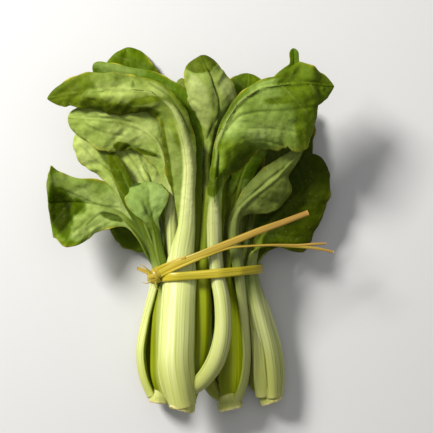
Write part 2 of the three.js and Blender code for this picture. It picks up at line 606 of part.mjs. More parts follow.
function meshOf(name, solid, material) {
  const { numProp, numVert, vertProperties, triVerts } = solid.getMesh();
  const positions = new Float32Array(numVert * 3);
  for (let i = 0; i < numVert; i++) {
    positions.set(vertProperties.subarray(i * numProp, i * numProp + 3), i * 3);
  }
  const geometry = new THREE.BufferGeometry();
  geometry.setAttribute("position", new THREE.BufferAttribute(positions, 3));
  geometry.setIndex(new THREE.BufferAttribute(triVerts, 1));
  geometry.computeVertexNormals();
  const mesh = new THREE.Mesh(geometry, material);
  mesh.name = name;
  return mesh;
}

// The stem base of a head: a short stub that the stalks grow from, cut off on a slant
function stemBase(head) {
  const [x, y, z] = head.axis[0];
  const g = head.girth;
  const profile = [
    [0, -CUT_LENGTH], [8.8 * g, -CUT_LENGTH], [9.8 * g, -CUT_LENGTH + 1.2],
    [9.4 * g, 1], [6.4 * g, 7], [0, 9],
  ];
  const lathe = new THREE.LatheGeometry(profile.map(([r, h]) => new THREE.Vector2(r, h)), 14);
  lathe.rotateZ(THREE.MathUtils.degToRad(head.slant)).translate(x, y, z);
  return solidOf(lathe);
}

// A strip of straw: stations give its centre, the direction across it, its outward direction,
// its width and its thickness
function strip(stations, closed) {
  const section = [[-0.5, 0], [-0.34, 0.5], [0.34, 0.5], [0.5, 0], [0.34, -0.5], [-0.34, -0.5]];
  const points = stations.flatMap(({ centre, across, out, wide, thick }) => section.map(([a, b]) =>
    centre.clone().addScaledVector(across, a * wide).addScaledVector(out, b * thick)));
  const sides = section.length;
  const rings = stations.length;
  const index = [];
  for (let i = 0; i < (closed ? rings : rings - 1); i++) {
    const here = i * sides;
    const next = ((i + 1) % rings) * sides;
    for (let s = 0; s < sides; s++) {
      const t = (s + 1) % sides;
      index.push(here + s, here + t, next + t, here + s, next + t, next + s);
    }
  }
  if (!closed) {
    const last = (rings - 1) * sides;
    for (let s = 1; s + 1 < sides; s++) index.push(0, s + 1, s, last, last + s, last + s + 1);
  }
  const solid = solidFrom(points, index);
  return solid.volume() > 0 ? solid : solidFrom(points, index.reverse());
}

// A loose end lies flat, facing up as nearly as its route allows
function looseEnd(route) {
  const curve = spline(route.map(([x, y, z]) => v3(x, y, z)));
  const steps = route.length - 1;
  const stations = [];
  for (let i = 0; i <= steps; i++) {
    const t = i / steps;
    const k = Math.min(Math.floor(t * (route.length - 1)), route.length - 2);
    const f = t * (route.length - 1) - k;
    const mix = (c) => route[k][c] + (route[k + 1][c] - route[k][c]) * f;
    const across = curve.getTangent(t).cross(v3(0, 0, 1)).normalize();
    const out = across.clone().cross(curve.getTangent(t));
    stations.push({ centre: curve.getPoint(t), across, out, wide: mix(3), thick: mix(4) });
  }
  return strip(stations, false);
}

// The band hugs the bundle: at each angle round it, it lies on whichever stalk stands out furthest
function band(bundle) {
  const slab = solidOf(new THREE.BoxGeometry(300, 18, 300).translate(0, TIE_Y, 0));
  const { numProp, vertProperties } = bundle.intersect(slab).getMesh();
  const held = [];
  for (let i = 0; i < vertProperties.length; i += numProp) {
    held.push([vertProperties[i], vertProperties[i + 2]]);
  }
  const stations = [];
  for (let k = 0; k < ROUND_STEPS; k++) {
    const a = (2 * Math.PI * k) / ROUND_STEPS;
    const out = v3(Math.sin(a), 0, Math.cos(a));
    const reach = ([x, z]) => x * out.x + z * out.z;
    const [x, z] = held.reduce((best, p) => (reach(p) > reach(best) ? p : best));
    const lift = CLEARANCE + STRAW.thick / 2 + 0.1;
    const centre = v3(x, TIE_Y + STRAW.slant * (x - 10), z).addScaledVector(out, lift);
    stations.push({ centre, across: v3(0, 1, 0), out, wide: STRAW.wide, thick: STRAW.thick });
  }
  return strip(stations, true);
}

function turn([along, high, wide, lean]) {
  const a = THREE.MathUtils.degToRad(lean);
  const across = v3(Math.sin(a), Math.cos(a), 0);
  const axis = v3(Math.cos(a), -Math.sin(a), 0);
  const upward = v3(0, 0, 1);
  const stations = [];
  for (let k = 0; k < 8; k++) {
    const b = (2 * Math.PI * k) / 8;
    const out = across.clone().multiplyScalar(Math.sin(b)).addScaledVector(upward, Math.cos(b));
    const centre = v3(...KNOT)
      .addScaledVector(across, along * Math.sin(b))
      .addScaledVector(upward, high * Math.cos(b));
    stations.push({ centre, across: axis, out, wide, thick: 1.8 });
  }
  return strip(stations, true);
}

const material = (color, roughness) => new THREE.MeshStandardMaterial({ color, roughness, metalness: 0 });
const paleStalk = material(0xd3dc9c, 0.45);
const greenBlade = material(0x5f8a2c, 0.55);
const paleBlade = material(0x9db46c, 0.6);
const dryStraw = material(0xc9a53c, 0.6);

// Everything below z = 0 is pressed flat by the table
const underTable = solidOf(new THREE.BoxGeometry(400, 400, 40).translate(0, 0, -20));

const bunch = new THREE.Group();
const rooms = [];
function place(name, solid, room, look) {
  let made = solid;
  for (const other of rooms) made = made.subtract(other);
  made = oneBody(made.subtract(underTable).simplify(0.08));
  rooms.push(room);
  bunch.add(meshOf(name, made, look));
  return made;
}

const built = LEAVES.map((leaf, n) => ({ leaf, phase: n * 1.7, ...rowsOf(leaf) }));
const heads = [];
for (const [name, head] of Object.entries(HEADS)) {
  const base = stemBase(head);
  const parts = [base];
  const swollen = [base];
  for (const b of built.filter(({ leaf }) => leaf.head === name)) {
    const made = sampled(b, 0, b.stems - 1, STALK_STEP, false);
    const perSide = b.leaf.ring === "outer" ? 3 : 2;
    parts.push(sheetSolid(made, perSide, 0, 0));
    swollen.push(sheetSolid(made, perSide, 0, 0, CLEARANCE));
  }
  heads.push(place(`${name}_head`, wasm.Manifold.union(parts), wasm.Manifold.union(swollen), paleStalk));
}
for (const b of built) {
  const made = sampled(b, b.stems - 1, b.rows.length - 1, BLADE_STEP, true);
  const perSide = b.leaf.blade.length > 8 ? 4 : 3;
  const solid = sheetSolid(made, perSide, b.leaf.ruffle, b.phase);
  const room = sheetSolid(made, perSide, b.leaf.ruffle, b.phase, CLEARANCE);
  place(b.leaf.name, solid, room, b.leaf.up === "face" ? greenBlade : paleBlade);
}

const bundle = wasm.Manifold.union(heads);
const knot = TURNS.map((t) => turn(t));
const ends = Object.values(ENDS).map((route) => looseEnd(route));
place("straw_tie", wasm.Manifold.union([band(bundle), ...knot, ...ends]), null, dryStraw);

bunch.position.set(...CENTRING);

export default bunch;
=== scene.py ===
"""A tied bunch of bok choy lying on a table, seen from straight above.

Metres, +Z up. The bunch lies along Y with the cut ends at -Y and the blades at +Y.
Every stalk and blade is a curved sheet: five points across it at each of a few rows along it, joined by
smooth curves, with a thick rib down its middle. The CAD solids follow the same rows, so each piece lies
where its solid is.

In the functions, s is the distance travelled along a leaf, out the distance from its middle line, and
t the share of the way from that line to the margin.
"""

import math

import bpy
import numpy as np
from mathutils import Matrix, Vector


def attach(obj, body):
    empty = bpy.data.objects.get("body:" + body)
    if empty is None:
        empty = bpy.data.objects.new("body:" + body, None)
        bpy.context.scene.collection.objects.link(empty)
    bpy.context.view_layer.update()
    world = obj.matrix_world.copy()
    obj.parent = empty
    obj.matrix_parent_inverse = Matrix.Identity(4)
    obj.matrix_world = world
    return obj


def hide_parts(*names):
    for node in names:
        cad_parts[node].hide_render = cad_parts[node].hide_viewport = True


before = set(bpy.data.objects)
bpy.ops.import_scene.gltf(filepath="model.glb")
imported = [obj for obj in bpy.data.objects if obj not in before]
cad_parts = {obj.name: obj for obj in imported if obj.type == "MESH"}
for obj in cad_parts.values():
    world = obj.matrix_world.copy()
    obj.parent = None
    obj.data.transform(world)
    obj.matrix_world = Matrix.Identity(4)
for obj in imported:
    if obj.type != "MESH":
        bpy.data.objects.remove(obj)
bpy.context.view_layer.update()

# Driving dimensions
CENTRING = np.array([0.0005, 0, 0])  # brings the middle of the whole bunch over the origin
BLADE_THICKNESS = 0.0009
STALK_EDGE = 0.0017  # thickness of a stalk at its two thin edges
TIP_RIB = 0.0013  # thickness of the midrib at the tip
TIP_RIB_HALF_WIDTH = 0.001
TIE_Y = -0.0335  # where the straw crosses the bundle
CUT_LENGTH = 0.0046  # from the foot of the stalks to the cut face
CUT_ROUGHNESS = 0.0003
DOMING = 0.09  # how much the middle of each half of a blade stands up, as a share of its width
STALK_THINNING = 0.45  # share of its thickness that a stalk loses on the way to the blade's tip
RUFFLE_LENGTH = 0.044  # one wave of a blade's margin
FINE_STEP = 0.0011  # spacing of the mesh along and across a leaf
TIP_ROWS = 22
VEIN_SPACING = 0.0165
VEIN_HALF_WIDTH = 0.0008
VEIN_RELIEF = 0.00035
VEIN_PUFF = 0.0004  # how much the blade bulges between its side veins
VEIN_LEAN = 0.62  # how far along a side vein gets for its way out
VEIN_BEND = 9  # and how much more it bends towards the tip
NET_SPACING = 0.0052  # of the finer veins between the side veins
NET_STRENGTH = 0.22
MARGIN_DRAW = 0.0011  # how far a blade's margin draws in and out
MARGIN_FRILL = 0.0008  # height of the small waves at the margin
CREASE_HALF_WIDTH = 0.0009
BUCKLE = 0.0012  # height of the soft dents in a blade
CRIMP = 0.0011  # height of the crisp folds that run with the side veins
STALK_RIB_PITCH = 0.0029
STALK_RIB_RELIEF = 0.00011
STRAW = {"wide": 0.0066, "thick": 0.0014, "slant": 0.08}
CLEARANCE = 0.0003
BAND_REACH = 0.009  # how far to each side of the tie the band looks for the stalks that hold it out
BAND_STEP = 0.0012
BAND_LEVEL_X = 0.01  # where the slanting band crosses TIE_Y
KNOT = np.array([-0.0255, -0.0345, 0.044])
# The turns of the knot: radius along the bundle, radius in height, width, and the way it leans in degrees
TURNS = [(0.006, 0.004, 0.0054, 25), (0.0056, 0.0046, 0.004, 78), (0.005, 0.005, 0.003, -28)]
TURN_THICKNESS = 0.0018

# Where along a blade the pale colour of its stalk starts and stops fading
SHORT_WHITE = (0.008, 0.05)
LONG_WHITE = {
    "front_leaf_a": (0.035, 0.1), "front_leaf_b": (0.012, 0.024), "front_leaf_c": (0.002, 0.03),
}
LONG_WHITE_GREEN = 0.12  # how green the necks of these three are

# How bright and how olive a blade is left and right of its midrib, seen from above along its growth,
# and how much more olive its tip is. Below zero, olive is a paler green. The brightness is painted light
# and shade as well as the leaf's own lightness: leaves that lie in shadow and halves turned from the
# light are darker.
TINTS = {
    "front_leaf_a": ((0.56, 0.25), (0.54, 0.1), 0.9),
    "front_leaf_b": ((0.52, 0.6), (0.58, 0.35), 0.3),
    "front_leaf_c": ((0.66, -0.3), (0.63, -0.2), 0.2),
    "front_leaf_d": ((0.5, -0.2), (0.5, 0.1), 0.1),
    "front_leaf_e": ((0.52, -0.2), (0.46, -0.1), 0),
    "front_leaf_f": ((0.42, 0.2), (0.58, 0), -0.6),
    "left_leaf_a": ((0.74, -0.6), (0.7, -0.4), -0.2),
    "left_leaf_b": ((0.5, -0.5), (0.52, -0.5), 0),
    "left_leaf_c": ((0.35, 0.2), (0.3, 0.2), 0),
    "left_leaf_d": ((0.72, -0.5), (0.74, -0.6), 0),
    "left_leaf_e": ((0.78, -0.8), (0.72, -0.5), 0),
    "left_leaf_f": ((0.45, 0.3), (0.35, 0.2), 0),
    "middle_leaf_b": ((0.46, -0.1), (0.34, 0.2), 0),
    "middle_leaf_c": ((0.52, 1.0), (0.52, 1.0), 0.2),
    "middle_leaf_d": ((0.45, 0.1), (0.45, 0.1), 0),
    "middle_leaf_e": ((0.5, 0.6), (0.5, 0.6), 0),
    "right_leaf_a": ((0.1, 0.3), (0.16, 0.3), 0),
    "others": ((0.3, 0.2), (0.3, 0.2), 0),
}
# Soft-edged patches on the blades: the place of the middle, half-length, half-width and turn in degrees,
# how soft the edge is, how much brighter the patch is, and how much more olive. They are partly painted
# light and shade, darker in clefts and under folds and brighter where a part faces the light, and partly
# the leaf's own olive and pale colour.
PATCHES = {
    "front_leaf_a": [
        (-0.0915, 0.0986, 0.018, 0.0112, 13, 0.6, -0.12, 0.9),
        (-0.0567, 0.1008, 0.0225, 0.009, 5, 0.6, 0.14, -1.0),
        (-0.0335, 0.0928, 0.0195, 0.0037, 8, 0.5, 0.06, 0.7),
        (-0.048, 0.0856, 0.033, 0.0053, -4, 0.3, -0.36, 0.7),
        (-0.024, 0.1008, 0.0112, 0.0045, -32, 0.5, 0.14, -0.7),
        (-0.0415, 0.1044, 0.0017, 0.0034, 0, 0.5, -0.3, 0.8),
        (-0.0132, 0.0573, 0.0247, 0.0058, -75, 0.6, -0.1, -0.6),
        (-0.0168, 0.0464, 0.0377, 0.0033, -83, 0.4, -0.3, 1.0),
    ],
    "front_leaf_b": [
        (0.0622, 0.0926, 0.0159, 0.0036, 3, 0.8, -0.08, 0.8),
        (0.0564, 0.1049, 0.0165, 0.003, 22, 0.6, 0.12, -0.6),
        (0.0332, 0.0774, 0.018, 0.0067, 58, 0.6, 0.16, -0.8),
        (0.0477, 0.0694, 0.0135, 0.0067, 5, 0.6, 0.12, -0.7),
        (0.0954, 0.1005, 0.009, 0.0105, 0, 0.3, -0.16, 0.6),
        (0.0368, 0.0492, 0.0159, 0.0072, 50, 0.35, -0.3, 1.1),
        (0.0224, 0.0499, 0.0159, 0.0043, 68, 0.7, 0.14, -0.2),
        (0.0173, 0.0347, 0.0127, 0.006, 78, 0.25, -0.14, 1.1),
        (0.0824, 0.0752, 0.008, 0.0159, 0, 0.8, -0.1, 0.7),
    ],
    "front_leaf_c": [
        (-0.0311, 0.0718, 0.0135, 0.0097, 0, 0.7, 0.14, -0.5),
        (-0.0576, 0.0769, 0.0165, 0.0045, 8, 0.5, -0.2, 0.3),
        (-0.0495, 0.06, 0.0075, 0.0037, -12, 0.15, -0.35, 1.2),
        (-0.0333, 0.0564, 0.012, 0.0022, -14, 0.3, -0.32, 0.9),
    ],
    "front_leaf_e": [
        (0.0063, 0.1211, 0.0135, 0.0075, 0, 0.12, -0.14, 1.4),
        (0.0063, 0.0941, 0.021, 0.009, 101, 0.25, -0.03, -1.1),
        (0.0275, 0.1, 0.0165, 0.006, 118, 0.5, -0.06, -0.6),
        (0.0166, 0.0707, 0.0105, 0.0045, 95, 0.6, -0.25, 0.6),
        (0.0129, 0.0445, 0.022, 0.0059, 92, 0.5, -0.34, 0.6),
    ],
    "left_leaf_a": [
        (-0.0649, 0.0568, 0.0143, 0.0034, -58, 0.3, -0.35, 0.4),
    ],
    "left_leaf_b": [
        (-0.0319, 0.0138, 0.0029, 0.0051, 20, 0.5, -0.2, 0.3),
        (-0.0422, 0.0329, 0.0067, 0.0026, 8, 0.3, -0.4, 0.8),
    ],
    "left_leaf_d": [
        (-0.0975, 0.0132, 0.0232, 0.0112, -84, 0.5, -0.6, 1.5),
        (-0.0862, 0.0169, 0.0105, 0.009, -20, 0.7, -0.36, 1.0),
        (-0.0592, 0.0087, 0.0105, 0.003, -18, 0.3, -0.4, 0.6),
        (-0.0803, -0.0041, 0.018, 0.006, 18, 0.6, 0.14, -0.6),
    ],
    "middle_leaf_b": [
        (0.0572, 0.0227, 0.0127, 0.0067, 20, 0.4, -0.16, 0.3),
        (0.0542, 0.0389, 0.0251, 0.0044, 47, 0.8, -0.04, 0.1),
    ],
    "right_leaf_a": [
        (0.073, -0.0087, 0.0195, 0.0075, 8, 0.6, 0.09, 0.5),
    ],
}

# Creases in the blades: how deep each one is, and the spots that it runs through; along them the colour
# is darkened as painted shade
CREASES = {
    "front_leaf_a": [
        (0.0005, [(-0.077, 0.0957), (-0.0697, 0.0935), (-0.0632, 0.0899)]),
        (0.0005, [(-0.0291, 0.1051), (-0.0161, 0.0964), (-0.0074, 0.0848), (-0.0001, 0.0703)]),
    ],
    "front_leaf_b": [
        (0.0006, [(0.0267, 0.0716), (0.0347, 0.081), (0.047, 0.0846), (0.0687, 0.0861), (0.0911, 0.089)]),
        (0.0004, [(0.0434, 0.073), (0.0614, 0.073), (0.081, 0.0701)]),
        (0.0004, [(0.039, 0.0636), (0.052, 0.0644), (0.068, 0.0607)]),
    ],
    "front_leaf_c": [
        (0.0005, [(-0.0693, 0.082), (-0.0576, 0.0813), (-0.0429, 0.0784)]),
        (0.0005, [(-0.0766, 0.0769), (-0.0634, 0.071), (-0.0488, 0.0681)]),
        (0.0006, [(-0.0502, 0.0578), (-0.0429, 0.0608), (-0.0326, 0.0564), (-0.0223, 0.052)]),
    ],
    "front_leaf_e": [
        (0.0008, [(0.0136, 0.1153), (0.0173, 0.1051), (0.021, 0.0912), (0.0166, 0.0759), (0.0122, 0.0664)]),
    ],
    "left_leaf_a": [
        (0.0004, [(-0.079, 0.0597), (-0.0701, 0.0508), (-0.0582, 0.042)]),
        (0.0004, [(-0.0745, 0.0642), (-0.0641, 0.0538), (-0.0538, 0.042)]),
    ],
    "left_leaf_b": [
        (0.0006, [(-0.0348, 0.0189), (-0.0319, 0.0123), (-0.0297, 0.0072)]),
        (0.0005, [(-0.0282, 0.0094), (-0.0267, 0.0145), (-0.0238, 0.0167)]),
    ],
    "left_leaf_d": [
        (0.0005, [(-0.0983, 0.0297), (-0.0833, 0.0237), (-0.0683, 0.0177), (-0.0547, 0.0154)]),
        (0.0006, [(-0.0772, 0.0034), (-0.0668, 0.0117), (-0.0547, 0.0094)]),
    ],
    "left_leaf_e": [
        (0.0005, [(-0.048, 0.0569), (-0.0406, 0.0465), (-0.0332, 0.0331)]),
        (0.0005, [(-0.0376, 0.0539), (-0.0324, 0.045), (-0.0287, 0.0316)]),
    ],
    "middle_leaf_b": [
        (0.0006, [(0.0365, 0.0168), (0.0483, 0.0279), (0.0586, 0.0375), (0.069, 0.0449)]),
    ],
}
# How olive a stalk is on the two sides of its middle: the outer ones are pale and the inner ones olive,
# apart from a few. This olive is painted shade and light shining through the stalks deep in a head.
INNER_SHADE = {
    "outer": (0, 0), "inner": (1, 1), "heart": (1, 1),
    "left_leaf_b": (1, 0), "middle_leaf_c": (0.7, 0.7), "right_leaf_d": (0.6, 0.6),
}
# How much cooler a leaf's green is than the others'
COOL = {
    "front_leaf_b": 0.5, "front_leaf_f": 0.5, "left_leaf_b": 1, "left_leaf_d": 0.3, "middle_leaf_c": 0.7,
    "middle_leaf_d": 0.7,
}
# How bright the stalks of each head are, and those of a few leaves of their own. This is painted shade:
# the heads that lie lower and further from the key light are darker, and a few single stalks darker still.
STALK_SHADES = {
    "left": 0.5, "front": 0.51, "middle": 0.43, "right": 0.44,
    "front_leaf_b": 0.41, "middle_leaf_d": 0.32, "middle_leaf_e": 0.32,
}
# How tan the stalks are at their cut feet
FOOT_TAN = {"front_leaf_b": 0.9, "others": 0.15}
# How green the stalks are where the blades begin, and the share of their length over which they turn green
NECK_GREEN = {"left": 1, "front": 0.62, "middle": 0.7, "right": 0.7}
NECK_SPAN = {"left": (0.56, 0.74), "front": (0.66, 0.9), "middle": (0.6, 0.84), "right": (0.6, 0.84)}
# Torn fibres at the knot: x, y, z, width and thickness at each spot
FIBRES = {
    "upper_fibre": [
        (-0.0285, -0.0325, 0.0475, 0.0011, 0.0006), (-0.0335, -0.0285, 0.0488, 0.0009, 0.0005),
        (-0.0372, -0.0262, 0.0478, 0.0005, 0.0004),
    ],
    "lower_fibre": [
        (-0.0275, -0.0375, 0.0468, 0.0012, 0.0006), (-0.0318, -0.0402, 0.0472, 0.0009, 0.0005),
        (-0.0356, -0.0398, 0.0455, 0.0005, 0.0004),
    ],
    "hook_fibre": [
        (-0.0252, -0.0385, 0.0475, 0.001, 0.0006), (-0.0262, -0.0422, 0.0482, 0.0009, 0.0005),
        (-0.0238, -0.0448, 0.0478, 0.0005, 0.0004),
    ],
}
# How brown the tips of the straw's loose ends are, and the knot
DRYNESS = {"thick": 1.0, "thin": 1.0, "split": 1.0, "others": 0.6}
KNOT_DRYNESS = 0.35

# The photo's camera looks straight down
CAMERA_HEIGHT = 1.1
VIEW_CENTRE = (0.0196, 0.009)
VIEW_LEVEL = 0.03  # a height near the middle of the bunch
VIEW_WIDTH = 0.32475  # what the picture shows across at that height
SENSOR_WIDTH = 36  # in millimetres, as the camera asks
FLOOR_REACH = 3
LIGHT_AIM = (0, 0, 0.02)
WORLD_LIGHT = 0.21

# A stalk's distance from the axis of its head, half-width and depth of curl, at distances up from its foot
RINGS = {
    "outer": {
        "thickness": 0.0044,
        "rows": [
            (0, 0.0072, 0.0072, 0.0032), (0.015, 0.0112, 0.0088, 0.0036), (0.035, 0.0126, 0.0092, 0.0036),
            (0.062, 0.0104, 0.0078, 0.0026),
        ],
    },
    "inner": {
        "thickness": 0.003,
        "rows": [
            (0, 0.0036, 0.0044, 0.0016), (0.015, 0.0072, 0.0064, 0.0024), (0.035, 0.0084, 0.007, 0.0026),
            (0.062, 0.007, 0.0058, 0.0018),
        ],
    },
    "heart": {
        "thickness": 0.0024,
        "rows": [
            (0, 0.0004, 0.0024, 0.0006), (0.013, 0.0012, 0.003, 0.0008), (0.033, 0.0014, 0.0036, 0.001),
            (0.06, 0.0014, 0.0034, 0.0008),
        ],
    },
}

# Each head: how stout it is, how its cut face slants in degrees,
# and its axis from the foot of the stalks to the tie
HEADS = {
    "left": {
        "girth": 0.92, "slant": -6,
        "axis": [
            (-0.0235, -0.128, 0.0145), (-0.027, -0.105, 0.0136), (-0.0265, -0.08, 0.0165),
            (-0.022, -0.055, 0.0215), (-0.017, -0.0335, 0.025),
        ],
    },
    "front": {
        "girth": 1, "slant": -17,
        "axis": [
            (-0.006, -0.13, 0.041), (-0.0095, -0.108, 0.0415), (-0.008, -0.08, 0.0405),
            (-0.004, -0.055, 0.04), (0, -0.0335, 0.041),
        ],
    },
    "middle": {
        "girth": 1, "slant": 13,
        "axis": [
            (0.029, -0.1325, 0.017), (0.029, -0.108, 0.0164), (0.027, -0.08, 0.0185),
            (0.023, -0.055, 0.021), (0.018, -0.0335, 0.023),
        ],
    },
    "right": {
        "girth": 0.88, "slant": 20,
        "axis": [
            (0.06, -0.128, 0.014), (0.057, -0.104, 0.013), (0.053, -0.08, 0.016),
            (0.0465, -0.055, 0.0215), (0.04, -0.0335, 0.025),
        ],
    },
}

